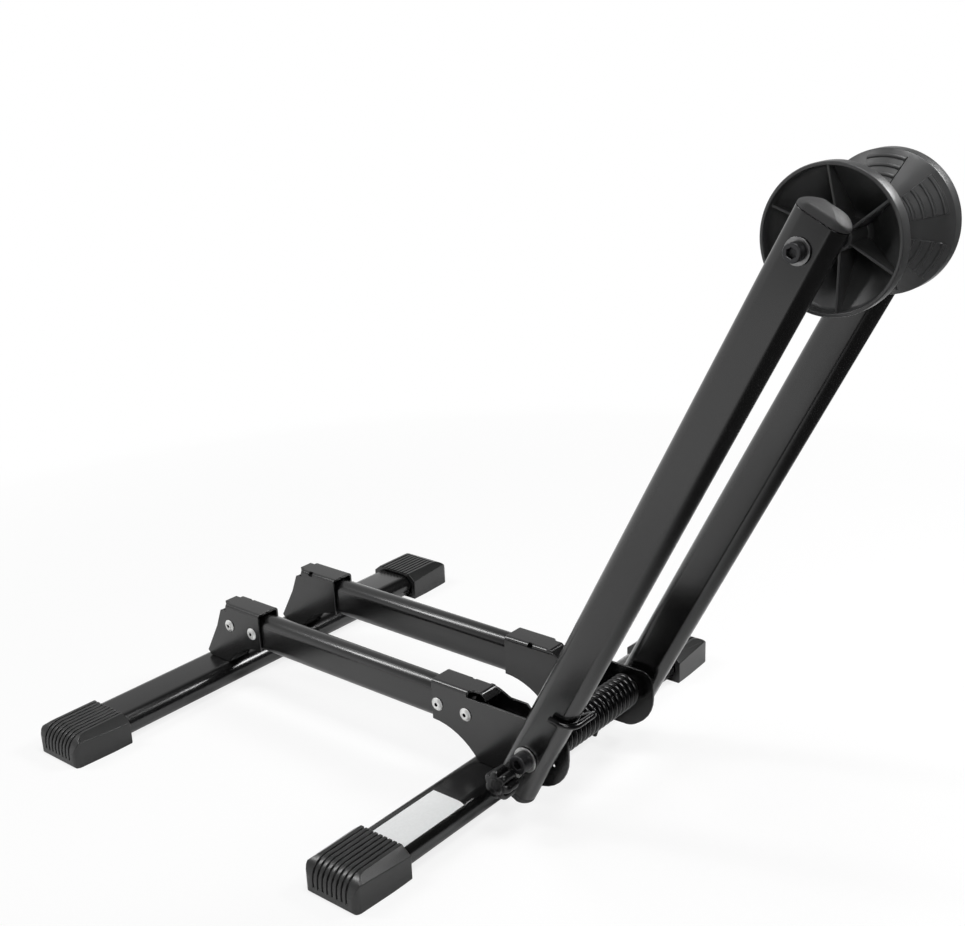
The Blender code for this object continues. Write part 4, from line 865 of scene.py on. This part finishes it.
def socket_bolt(shank, head, head_height, key, key_depth, tip, end):
    """A socket-head bolt about X: rings are round on the head and shank, and six-sided down the key hole."""
    chamfer = 0.0006        # at the shank's end, and the cone at the key hole's floor
    mouth = 0.0003          # depth of the key hole's flared mouth
    flare = 1.10            # its width beside the hole's
    flat = 0.80             # share of the head's top that is flat
    rounds = (0, 0.0007, 0.0002, 0, 0, 0, 0)
    seat, floor = tip - head_height, tip - key_depth
    outer = rounded([(head * flat, tip), (head, tip), (head, seat), (shank, seat), (shank, end + chamfer),
                     (shank - chamfer, end), (0, end)], rounds, closed=False)
    hole = np.array([(0, floor - chamfer), (key, floor), (key, tip - mouth), (key * flare, tip)])
    profile = np.concatenate([hole, outer])
    keyed = np.arange(len(profile)) < len(hole)

    def radius_at(radii, a):
        """The profile's radius, times a hexagon's side for the rings down the key hole."""
        return np.where(keyed[:, None], hexagon(1.0, a) * radii, radii)

    return turned(profile, steps=72, radius_at=radius_at)


def hex_nut(corner, bore, low, high):
    """A nut about X: each ring is the smaller of the hexagon and a cone that cuts the corners at both faces."""
    cut = corner * 0.10     # how far in the cone reaches at a face
    slope = cut * 0.58      # and how far down the side
    bevel = 0.0005
    outside = [(corner - cut, low), (corner, low + slope), (corner, high - slope), (corner - cut, high)]
    profile = [*outside, (bore + bevel, high), (bore, high - bevel), (bore, low + bevel), (bore + bevel, low)]
    round_rings = np.arange(len(profile)) >= len(outside)

    def radius_at(radii, a):
        """The profile's radius in the bore, and outside the smaller of it and the hexagon's side."""
        return np.where(round_rings[:, None], radii, np.minimum(radii, hexagon(corner, a)))

    return turned(profile, steps=96, loop=True, radius_at=radius_at)


def ring(outer, bore, low, high, edge):
    """A washer or spacer: a rectangle from bore to outer radius, its corners rounded, turned about X."""
    corners = [(outer, high), (outer, low), (bore, low), (bore, high)]
    return turned(rounded(corners, (edge,) * 4, steps=4), steps=64, loop=True)


def axle_pieces(name, middle, at, body, shank, head, head_height, key, key_depth, nut, bore, washer, washer_look,
                spacer, middle_radius):
    """A bolt along X with its nut, a washer and a spacer on each side, and one more round piece in the middle.

    Every ring takes its stretch of X from its own node.
    """
    end, tip = span_x(f"{name}_bolt")
    put(f"{name}_bolt", moved(socket_bolt(shank, head, head_height, key, key_depth, tip, end), at), "oxide", body)
    put(f"{name}_nut", moved(hex_nut(nut, bore, *span_x(f"{name}_nut")), at), "zinc", body)
    rings = []
    for side, _ in SIDES:
        rings += [(f"{name}_washer_{side}", washer, WASHER_EDGE, washer_look),
                  (f"{name}_spacer_{side}", spacer, SPACER_EDGE, "spacer")]
    for node, radius, edge, look in (*rings, (middle, middle_radius, SPACER_EDGE, "spacer")):
        put(node, moved(ring(radius, bore, *span_x(node), edge), at), look, body)


class BIKE_STAND_OT_pivot(bpy.types.Operator):
    """The pivot bolt with its nut, washers, spacers and spring sleeve."""

    bl_idname = "bike_stand.pivot"
    bl_label = "Pivot"

    def execute(self, context):
        axle_pieces("pivot", "spring_sleeve", PIVOT, "base", shank=0.0040, head=0.0065, head_height=0.0075,
                    key=0.0034, key_depth=0.0045, nut=0.0075, bore=0.0043, washer=0.0085, washer_look="zinc",
                    spacer=0.0080, middle_radius=0.00735)
        return {"FINISHED"}


class BIKE_STAND_OT_roller_axle(bpy.types.Operator):
    """The roller bolt with its nut, washers and spacers."""

    bl_idname = "bike_stand.roller_axle"
    bl_label = "Roller axle"

    def execute(self, context):
        axle_pieces("roller", "middle_spacer", AXLE, "arms", shank=0.0030, head=0.0050, head_height=0.0052,
                    key=0.0028, key_depth=0.0031, nut=0.00577, bore=0.0033, washer=0.0070, washer_look="steel",
                    spacer=0.0055, middle_radius=0.0060)
        return {"FINISHED"}


class BIKE_STAND_OT_rollers(bpy.types.Operator):
    """Two hollow cone rollers with tread blocks and moulded ribs."""

    bl_idname = "bike_stand.rollers"
    bl_label = "Rollers"

    sharp = 30              # degrees: edges past this are shaded sharp

    blocks = 6
    block_angle = math.radians(30.6)
    block_sweep = math.radians(36.0)
    block_flank = math.radians(0.7)
    block_points = 13       # along a block
    between_points = 9      # from one block to the next
    ridges = (0.0345, 0.0302, 0.0260, 0.0220)
    crest = ((0.00085, 0.0004), (0.00050, 0.00112), (0.0, 0.0013), (-0.00050, 0.00112), (-0.00085, 0.0004))
    block_height = 0.0004   # between the ridges
    block_margin = 0.0015   # past the first and last ridge
    block_foot = 0.00015    # run of the slope at those ends

    wall = 0.0022           # of the cone
    rim_wall = 0.0020
    floor_wall = 0.0024     # of the narrow end
    bore = 0.0033
    hub = 0.0070
    hub_x = 0.0260
    head_rounds = (0, 0.0007, 0.0009, 0)
    tail_rounds = (0, 0.0008, 0.0003, 0.0003, 0.0005, 0.0012, 0.0030, 0.0050, 0.0005, 0)

    ribs = 6
    rib_angle = math.radians(36.5)
    rib_half = 0.0007       # half its thickness
    rib_edge = 0.0003
    rib_root = 0.0010       # how far a rib runs into the hub
    rib_reach = 0.0008      # and into the rim's wall
    hub_drop = 0.0004       # a rib's top below the hub's end
    rim_drop = 0.0030       # and below the rim

    def execute(self, context):
        surface = self.roller()
        for side, sign in SIDES:
            put(f"roller_{side}", moved(surface, AXLE, half_turn=sign < 0), "roller", f"{side}_roller", self.sharp)
        return {"FINISHED"}

    def angles(self):
        """Angles round the roller, and 1 for those inside a tread block and 0 for those between blocks.

        The steps are even, with a close pair at both ends of each block.
        """
        step = math.tau / self.blocks
        start = self.block_angle - self.block_sweep / 2
        inside = np.linspace(self.block_flank, self.block_sweep - self.block_flank, self.block_points)
        outside = np.linspace(self.block_sweep, step, self.between_points)[:-1]
        one = np.concatenate([[0.0], inside, outside])
        mask = np.concatenate([[0.0], np.ones(len(inside)), np.zeros(len(outside))])
        a = start + np.concatenate([one + i * step for i in range(self.blocks)])
        return a, np.tile(mask, self.blocks)

    def roller(self):
        """The wall's closed profile turned about X; on the cone, tread rows rise along the face's normal.

        A row's rise is its height above the cone times the block's mask. The ribs are thin plates from the hub
        to the rim.
        """
        s = sizes()
        inner_x, rim_x = span_x("roller_near")
        band_x = rim_x - s.roller_band
        rise, run = band_x - inner_x, s.roller_radius - s.roller_inner
        slope = rise / run
        normal = np.array([rise, -run]) / math.hypot(rise, run)

        def cone(radius, depth=0.0):
            """The cone's x at a radius, this deep below its face."""
            return inner_x + (radius - s.roller_inner) * slope + depth * math.hypot(rise, run) / run

        outer, inner = self.ridges[0] + self.block_margin, self.ridges[-1] - self.block_margin
        rows = [(radius + out, up) for radius in self.ridges for out, up in self.crest]
        rows = [(outer + self.block_foot, 0), (outer, self.block_height), *rows, (inner, self.block_height),
                (inner - self.block_foot, 0)]
        tread = np.array([(radius, cone(radius)) for radius, _ in rows])
        heights = np.array([height for _, height in rows])

        inside = s.roller_radius - self.rim_wall
        floor_x = inner_x + self.floor_wall
        floor_r = s.roller_inner + (floor_x - cone(s.roller_inner, self.wall)) / slope
        head = rounded([(inside, rim_x), (s.roller_radius, rim_x), (s.roller_radius, band_x), tread[0]],
                       self.head_rounds, closed=False)[1:-1]
        tail = rounded([tread[-1], (s.roller_inner, inner_x), (self.bore, inner_x), (self.bore, self.hub_x),
                        (self.hub, self.hub_x), (self.hub, floor_x), (floor_r, floor_x),
                        (inside, cone(inside, self.wall)), (inside, rim_x), (s.roller_radius, rim_x)],
                       self.tail_rounds, closed=False)[1:-1]
        profile = np.concatenate([head, tread, tail])
        lift = np.concatenate([np.zeros(len(head)), heights, np.zeros(len(tail))])
        a, mask = self.angles()
        rise_at = lift[:, None] * mask[None]
        radius = profile[:, :1] + normal[0] * rise_at
        x = profile[:, 1:] + normal[1] * rise_at
        shell = skin(np.stack([x, radius * np.cos(a), radius * np.sin(a)], axis=2), loop=True)

        root, reach = self.hub - self.rib_root, inside + self.rib_reach
        middle = self.wall / 2
        outline = np.array([(root, self.hub_x - self.hub_drop), (root, cone(floor_r, middle)),
                            (floor_r, cone(floor_r, middle)), (reach, cone(reach, middle)),
                            (reach, rim_x - self.rim_drop)])
        points, faces = plate(outline, -self.rib_half, self.rib_half, self.rib_edge)
        along, x, thick = points.T
        ribs = []
        for i in range(self.ribs):
            turn = self.rib_angle + i * math.tau / self.ribs
            rib = np.stack([x, along * math.cos(turn) - thick * math.sin(turn),
                            along * math.sin(turn) + thick * math.cos(turn)], axis=1)
            ribs.append(outward((rib, faces)))
        return merged(shell, *ribs)


def wire_tube(path, radius):
    """A round wire along a path: each ring stands square to the path, in a frame carried without twist."""
    around = 14
    step = np.gradient(path, axis=0)
    step /= np.linalg.norm(step, axis=1, keepdims=True)
    side = np.cross(step[0], (0.0, 0.0, 1.0))
    sides = np.empty_like(path)
    for i, direction in enumerate(step):
        side = side - direction * (side @ direction)
        side /= np.linalg.norm(side)
        sides[i] = side
    upper = np.cross(step, sides)
    a = np.linspace(0, math.tau, around, endpoint=False)[None, :, None]
    return skin(path[:, None] + radius * (np.cos(a) * sides[:, None] + np.sin(a) * upper[:, None]))


class BIKE_STAND_OT_spring(bpy.types.Operator):
    """The torsion spring, one wire from the hook on the arm to the leg on the front tube."""

    bl_idname = "bike_stand.spring"
    bl_label = "Torsion spring"

    least_step = 1e-5       # points of the path closer than this are one
    blend_past = 0.002      # the blend runs this far past the coil's ends
    end_points = 6          # along each stretch of the path
    bend_points = 17
    run_points = 7
    straight_points = 14
    turn_points = 40
    leg_points = 12

    def execute(self, context):
        s = sizes()
        path = lean(self.path())
        keep = np.ones(len(path), bool)
        keep[1:] = np.linalg.norm(np.diff(path, axis=0), axis=1) > self.least_step
        piece = put("torsion_spring", wire_tube(path[keep], s.wire), "spring", None)
        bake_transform(piece)
        return {"FINISHED"}

    def path(self):
        """Centre line in the arm's axes (x, across, along).

        A straight end on the arm's outer face, a quarter circle round the arm's front edge, a run along X, a
        bend of hook_bend towards the coil's back, and a helix (x, r cos a, r sin a) whose angle rises as x falls.
        The last leg touches the coil on one side and a circle round the front tube's nose on the other.
        """
        s = sizes()
        clear = s.wire + FIT_GAP
        nose_radius = s.arm_thick / 2 + clear
        nose_x = arm_x("near")
        nose_across = s.arm_depth / 2 - s.arm_thick / 2
        front = nose_across + nose_radius
        leave = math.atan2(s.hook_along, front) + math.acos(s.coil / math.hypot(front, s.hook_along))
        down = np.array([0, math.sin(leave), -math.cos(leave)])
        fall = s.hook_drop / (front - s.hook_end)

        a = np.linspace(0, math.pi / 2, self.bend_points)
        across = nose_across + nose_radius * np.sin(a)
        corner = np.stack([nose_x + nose_radius * np.cos(a), across, s.hook_along - fall * (front - across)], axis=1)
        end = np.array([[nose_x + nose_radius, s.hook_end, s.hook_along - s.hook_drop]])
        lead = end + (corner[0] - end) * np.linspace(0, 1, self.end_points)[:-1, None]
        bend_start = s.coil_near + s.hook_bend
        run = np.linspace(corner[-1, 0], bend_start, self.run_points)[1:-1, None] * (1, 0, 0)
        run = run + (0, front, s.hook_along)
        bend = np.stack([s.coil_near + s.hook_bend * (1 - np.sin(a)), np.full(len(a), front),
                         np.full(len(a), s.hook_along)], axis=1) - down * (s.hook_bend * (1 - np.cos(a)))[:, None]

        tube_low, tube_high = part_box("front_cross_tube")
        nose = (tube_high.z - tube_low.z) / 2
        dy, dz = tube_high.y - nose - PIVOT[1], tube_low.z + nose - PIVOT[2]
        tilt = s.arm_tilt
        centre = (dy * math.cos(tilt) - dz * math.sin(tilt), dy * math.sin(tilt) + dz * math.cos(tilt))
        distance, reach = math.hypot(*centre), s.coil + nose + clear
        away = math.atan2(centre[1], centre[0]) - math.acos(reach / distance)
        length = math.sqrt(distance ** 2 - reach ** 2) + s.leg_past
        turns = s.coil_turns + ((away - leave) / math.tau) % 1
        share = np.linspace(0, 1, int(turns * self.turn_points) + 1)
        a = leave + turns * math.tau * share
        helix = np.stack([s.coil_near - (s.coil_near + s.coil_far) * share, s.coil * np.cos(a),
                          s.coil * np.sin(a)], axis=1)
        straight = bend[-1] + (helix[0] - bend[-1]) * np.linspace(0, 1, self.straight_points)[1:-1, None]
        leg = np.array([0, -math.sin(away), math.cos(away)]) * length
        last = helix[-1] + leg * np.linspace(0, 1, self.leg_points)[1:, None]
        return np.concatenate([lead, corner, run, bend, straight, helix, last])


class BIKE_STAND_OT_lock_knob(bpy.types.Operator):
    """The star knob on its stud."""

    bl_idname = "bike_stand.lock_knob"
    bl_label = "Lock knob"

    lobes = 7
    lobe_steps = 24
    head_height = 0.0122
    neck = 0.0048           # radii
    stud = 0.0025
    dimple = 0.0009         # depth in the middle of the front
    front_drop = 0.0004     # the lobes' front edge below the front
    front_shares = (0.55, 0.40)     # of the radius: where the front's ridge starts and ends
    neck_drop = 0.0003
    rounds = (0, 0.0005, 0.0008, 0.0020, 0.0034, 0.0004, 0.0004, 0)
    stud_rounds = (0, 0.0004, 0.0004, 0)

    def execute(self, context):
        s = sizes()
        at = np.array(JOINTS["lock_knob_turn"]["pos_m"]) * (0, 1, 1)
        low, high = span_x("star_knob")
        inner = high - self.head_height
        ridge, dimple = (s.knob_radius * share for share in self.front_shares)
        floor = high - self.dimple
        corners = [(0, low + self.neck_drop), (self.neck, low), (self.neck, inner), (s.knob_radius, inner),
                   (s.knob_radius, high - self.front_drop), (ridge, high), (dimple, floor), (0, floor)]
        profile = rounded(corners, self.rounds, steps=8, closed=False)
        knob = turned(profile, self.lobes * self.lobe_steps, radius_at=self.radius_at)
        put("star_knob", moved(knob, at), "plastic", "lock_handle")

        start, end = span_x("lock_stud")
        corners = [(0, end), (self.stud, end), (self.stud, start), (0, start)]
        stud = turned(rounded(corners, self.stud_rounds, steps=3, closed=False), steps=40)
        put("lock_stud", moved(stud, at), "zinc", "lock_screw")
        return {"FINISHED"}

    def radius_at(self, radii, a):
        """Past the neck, a ring follows a union of round knuckles about a core.

        The union's radius is the larger of the core's and d cos e + sqrt(k^2 - d^2 sin^2 e), where e is the
        angle to the nearest knuckle's middle, d its distance from the axis and k its own radius.
        """
        s = sizes()
        share = np.clip((radii - self.neck) / (s.knob_radius - self.neck), 0, 1)
        pitch = math.tau / self.lobes
        e = (a + pitch / 2) % pitch - pitch / 2
        distance = s.knob_radius - s.knuckle
        inside = np.maximum(s.knuckle ** 2 - (distance * np.sin(e)) ** 2, 0)
        reach = np.where(inside > 0, distance * np.cos(e) + np.sqrt(inside), 0)
        union = np.maximum(reach, s.knob_core)
        return radii - (s.knob_radius - union) * share ** 2


class BIKE_STAND_OT_label(bpy.types.Operator):
    """A blank label on the front tube's flat top."""

    bl_idname = "bike_stand.label"
    bl_label = "Blank label"

    start, end = 0.0945, 0.1560     # along X
    columns = 8
    back_gap = 0.0012       # from the flat top's back edge
    flat_points, bend_points = 12, 9
    wrap = 56               # degrees above level, where it ends on the nose
    under, over = 0.00002, 0.00014  # the film's two faces above the tube
    sharp = 60              # degrees: edges past this are shaded sharp

    def execute(self, context):
        """A thin strip bent over the tube: flat on top, then along the tube's nose by an angle.

        A row of points runs across the tube at each x, at the tube's surface plus a rise. The strip's top and
        underside are two such sheets, joined round their rims.
        """
        low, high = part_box("front_cross_tube")
        nose = (high.z - low.z) / 2
        back, front = low.y + nose, high.y - nose
        bend = np.radians(np.linspace(90, self.wrap, self.bend_points))
        flat = np.linspace(back + self.back_gap, front, self.flat_points)[:-1]

        def across(rise):
            """A row of points (y, z): the flat top raised by rise, then an arc of the nose's radius plus rise."""
            y = np.concatenate([flat, front + (nose + rise) * np.cos(bend)])
            z = np.concatenate([np.full(len(flat), high.z + rise), high.z - nose + (nose + rise) * np.sin(bend)])
            return np.stack([y, z], axis=1)

        loop = np.concatenate([across(self.over), across(self.under)[::-1]])
        rings = np.stack([np.column_stack([np.full(len(loop), x), loop])
                          for x in np.linspace(self.start, self.end, self.columns)])
        place("blank_label", mesh_of("blank_label", skin(rings), self.sharp), "label", "base")
        return {"FINISHED"}


class BIKE_STAND_OT_inner_parts(bpy.types.Operator):
    """The finish of the CAD pieces that stay as they are."""

    bl_idname = "bike_stand.inner_parts"
    bl_label = "Inner parts"

    kept = ("arm_bush_near", "arm_bush_far", "knob_insert")

    def execute(self, context):
        for node in self.kept:
            mesh = frame["nodes"][node].data
            mesh.materials.clear()
            mesh.materials.append(finish("zinc"))
        return {"FINISHED"}


class BIKE_STAND_OT_stage(bpy.types.Operator):
    """Floor, lamps, world and camera."""

    bl_idname = "bike_stand.stage"
    bl_label = "Stage"

    floor_half = 30.0
    floor_drop = 0.00005            # below the soles
    camera_fade = (0.30, 1.1)       # distance over which the floor turns white for the camera
    reflected_fade = (0.35, 0.9)    # and for reflections
    # Painted shade: the floor turns dark, for reflections alone, ahead of the stand.
    reflected_shade_ramp = (0.05, 0.34)        # along Y, where the floor turns dark for reflections
    reflected_shade_share = 0.94
    reflected_shade_grey = 0.02
    world_fill = 0.05
    backdrop_side = (-0.60, -0.10)  # the view's Y part, over which the backdrop ends
    backdrop_height = (0.0, 0.5)    # its Z part, over which the backdrop fades
    backdrop_fade = 0.45
    sensor_width = 36.0
    nearest = 0.01

    # Name, place, what it points at, width and height, and power.
    lamp_plan = (
        ("back strip", (0.72, -1.17, 1.65), (0.0, 0.0, 0.08), (0.26, 0.90), 11.5),
        ("back box", (0.24, -1.15, 1.78), (0.0, 0.0, 0.10), (0.20, 0.60), 1.0),
        ("top box", (0.10, 0.35, 1.95), (0.0, 0.05, 0.10), (0.70, 0.70), 17.0),
        ("right box", (-0.72, 0.64, 1.00), (0.0, 0.05, 0.15), (0.34, 0.34), 8.5),
        ("camera fill", (1.50, 1.30, 1.20), (0.0, 0.05, 0.20), (0.80, 0.80), 8.0),
    )

    def execute(self, context):
        self.floor()
        self.lamps()
        self.world()
        self.camera()
        context.scene.view_settings.view_transform = "Standard"
        return {"FINISHED"}

    def floor(self):
        """A pale floor: the shadow stays near the object, and away from it the floor turns plain white.

        For reflections alone it turns dark ahead of the stand, towards +Y: painted shade, standing for a wheel's
        shadow there.
        """
        mesh = bpy.data.meshes.new("floor")
        corners = np.array([(-1, -1, 0), (1, -1, 0), (1, 1, 0), (-1, 1, 0)]) * self.floor_half
        mesh.from_pydata(corners - (0, 0, self.floor_drop), [], [(0, 1, 2, 3)])
        floor = bpy.data.objects.new("floor", mesh)
        paint = bpy.data.materials.new("studio floor")
        paint.use_nodes = True
        paint.node_tree.nodes.clear()
        made = Nodes(paint.node_tree)
        here = made.object_place()
        away = made.node("ShaderNodeVectorMath", {"operation": "LENGTH"}, {0: here}, "Value")
        near = bpy.context.scene.stand_stage.floor_glow
        camera = made.node("ShaderNodeLightPath", {}, {}, "Is Camera Ray")
        looked_at = near + made.spread(away, *self.camera_fade) * (1 - near)
        reflected = made.seen() * made.spread(away, *self.reflected_fade)
        share = reflected.math("MAXIMUM", camera * looked_at)
        # Painted shade for reflections alone: a dark floor ahead of the stand.
        dim = made.spread(made.part(here, "Y"), *self.reflected_shade_ramp) * (1 - camera) * made.seen() * self.reflected_shade_share
        inputs = {"Color": (*bpy.context.scene.stand_stage.floor, 1)}
        matt = made.node("ShaderNodeBsdfDiffuse", {}, inputs, "BSDF")
        glow = made.node("ShaderNodeEmission", {}, {"Color": WHITE}, "Emission")
        mix = made.node("ShaderNodeMixShader", {}, {0: share, 1: matt, 2: glow}, "Shader")
        dark = made.node("ShaderNodeBsdfDiffuse", {}, {"Color": shade((self.reflected_shade_grey,) * 3)}, "BSDF")
        mix = made.node("ShaderNodeMixShader", {}, {0: dim, 1: mix, 2: dark}, "Shader")
        made.node("ShaderNodeOutputMaterial", {}, {"Surface": mix})
        mesh.materials.append(paint)
        bpy.context.scene.collection.objects.link(floor)

    def lamps(self):
        """A strip and a box high behind the stand, one box overhead, one on the right and one near the camera."""
        for name, place_at, target, spread, power in self.lamp_plan:
            data = bpy.data.lights.new(name, "AREA")
            data.shape = "RECTANGLE"
            data.size, data.size_y = spread
            data.energy = power
            lamp = bpy.data.objects.new(name, data)
            lamp.location = place_at
            lamp.rotation_euler = (Vector(target) - Vector(place_at)).to_track_quat("-Z", "Y").to_euler()
            lamp.visible_camera = False
            bpy.context.scene.collection.objects.link(lamp)

    def world(self):
        """A dim even fill, and white wherever the camera looks.

        Reflections see a backdrop that is white towards -Y, ends towards +Y and fades upwards.
        """
        world = bpy.data.worlds.new("studio")
        bpy.context.scene.world = world
        world.use_nodes = True
        world.node_tree.nodes.clear()
        made = Nodes(world.node_tree)
        fill = made.node("ShaderNodeBackground", {}, {"Color": WHITE, "Strength": self.world_fill}, "Background")
        white = made.node("ShaderNodeBackground", {}, {"Color": WHITE, "Strength": 1.0}, "Background")
        direction = made.node("ShaderNodeTexCoord", {}, {}, "Generated")
        side = 1 - made.spread(made.part(direction, "Y"), *self.backdrop_side)
        height = 1 - made.spread(made.part(direction, "Z"), *self.backdrop_height) * self.backdrop_fade
        camera = made.node("ShaderNodeLightPath", {}, {}, "Is Camera Ray")
        share = camera.math("MAXIMUM", made.seen() * (side * height))
        mix = made.node("ShaderNodeMixShader", {}, {0: share, 1: fill, 2: white}, "Shader")
        made.node("ShaderNodeOutputWorld", {}, {"Surface": mix})

    def camera(self):
        """The photograph's camera: right, up and back come from its azimuth, elevation and roll."""
        plan = bpy.context.scene.stand_stage
        az, el, roll = plan.azimuth, plan.elevation, plan.roll
        back = Vector((math.sin(az) * math.cos(el), -math.cos(az) * math.cos(el), math.sin(el)))
        right = Vector((math.cos(az), math.sin(az), 0))
        up = back.cross(right)
        turned_right = right * math.cos(roll) + up * math.sin(roll)
        turned_up = up * math.cos(roll) - right * math.sin(roll)
        data = bpy.data.cameras.new("camera")
        data.sensor_fit = "HORIZONTAL"
        data.sensor_width = self.sensor_width
        data.lens = plan.focal_px / IMAGE_WIDTH * data.sensor_width
        data.shift_x = (IMAGE_WIDTH / 2 - plan.centre_x) / IMAGE_WIDTH
        data.shift_y = (plan.centre_y - IMAGE_HEIGHT / 2) / IMAGE_WIDTH
        data.clip_start = self.nearest
        camera = bpy.data.objects.new("camera", data)
        basis = Matrix((turned_right, turned_up, back)).transposed().to_4x4()
        camera.matrix_world = Matrix.Translation(Vector(plan.camera_place)) @ basis
        bpy.context.scene.collection.objects.link(camera)
        bpy.context.scene.camera = camera


OPERATORS = (
    BIKE_STAND_OT_stage,
    BIKE_STAND_OT_cross_tubes,
    BIKE_STAND_OT_foot_caps,
    BIKE_STAND_OT_rails,
    BIKE_STAND_OT_brackets,
    BIKE_STAND_OT_rivets,
    BIKE_STAND_OT_arms,
    BIKE_STAND_OT_arm_plugs,
    BIKE_STAND_OT_pivot,
    BIKE_STAND_OT_roller_axle,
    BIKE_STAND_OT_rollers,
    BIKE_STAND_OT_spring,
    BIKE_STAND_OT_lock_knob,
    BIKE_STAND_OT_label,
    BIKE_STAND_OT_inner_parts,
)


class BIKE_STAND_PT_panel(bpy.types.Panel):
    """Lists the stand's operators in the sidebar."""

    bl_idname = "BIKE_STAND_PT_panel"
    bl_label = "Bike parking stand"
    bl_space_type = "VIEW_3D"
    bl_region_type = "UI"
    bl_category = "Bike stand"

    def draw(self, context):
        for operator in OPERATORS:
            self.layout.operator(operator.bl_idname)
        for group, _ in GROUPS:
            settings = getattr(context.scene, group)
            box = self.layout.box()
            for key in settings.__annotations__:
                box.prop(settings, key)


GROUPS = (("stand_sizes", StandSizes), ("stand_colours", StandColours), ("stand_stage", StandStage))


def register():
    """Add the settings to the scene, then the operators and the panel."""
    for name, group in GROUPS:
        bpy.utils.register_class(group)
        setattr(bpy.types.Scene, name, PointerProperty(type=group))
    for cls in (*OPERATORS, BIKE_STAND_PT_panel):
        bpy.utils.register_class(cls)


def unregister():
    """Take away what register added, in reverse."""
    for cls in reversed((*OPERATORS, BIKE_STAND_PT_panel)):
        bpy.utils.unregister_class(cls)
    for name, group in reversed(GROUPS):
        delattr(bpy.types.Scene, name)
        bpy.utils.unregister_class(group)


def run(operator):
    """Call an operator by its own name."""
    group, name = operator.bl_idname.split(".")
    getattr(getattr(bpy.ops, group), name)()


def main():
    """Build everything in order."""
    register()
    for operator in OPERATORS:
        run(operator)


if __name__ == "__main__":
    main()
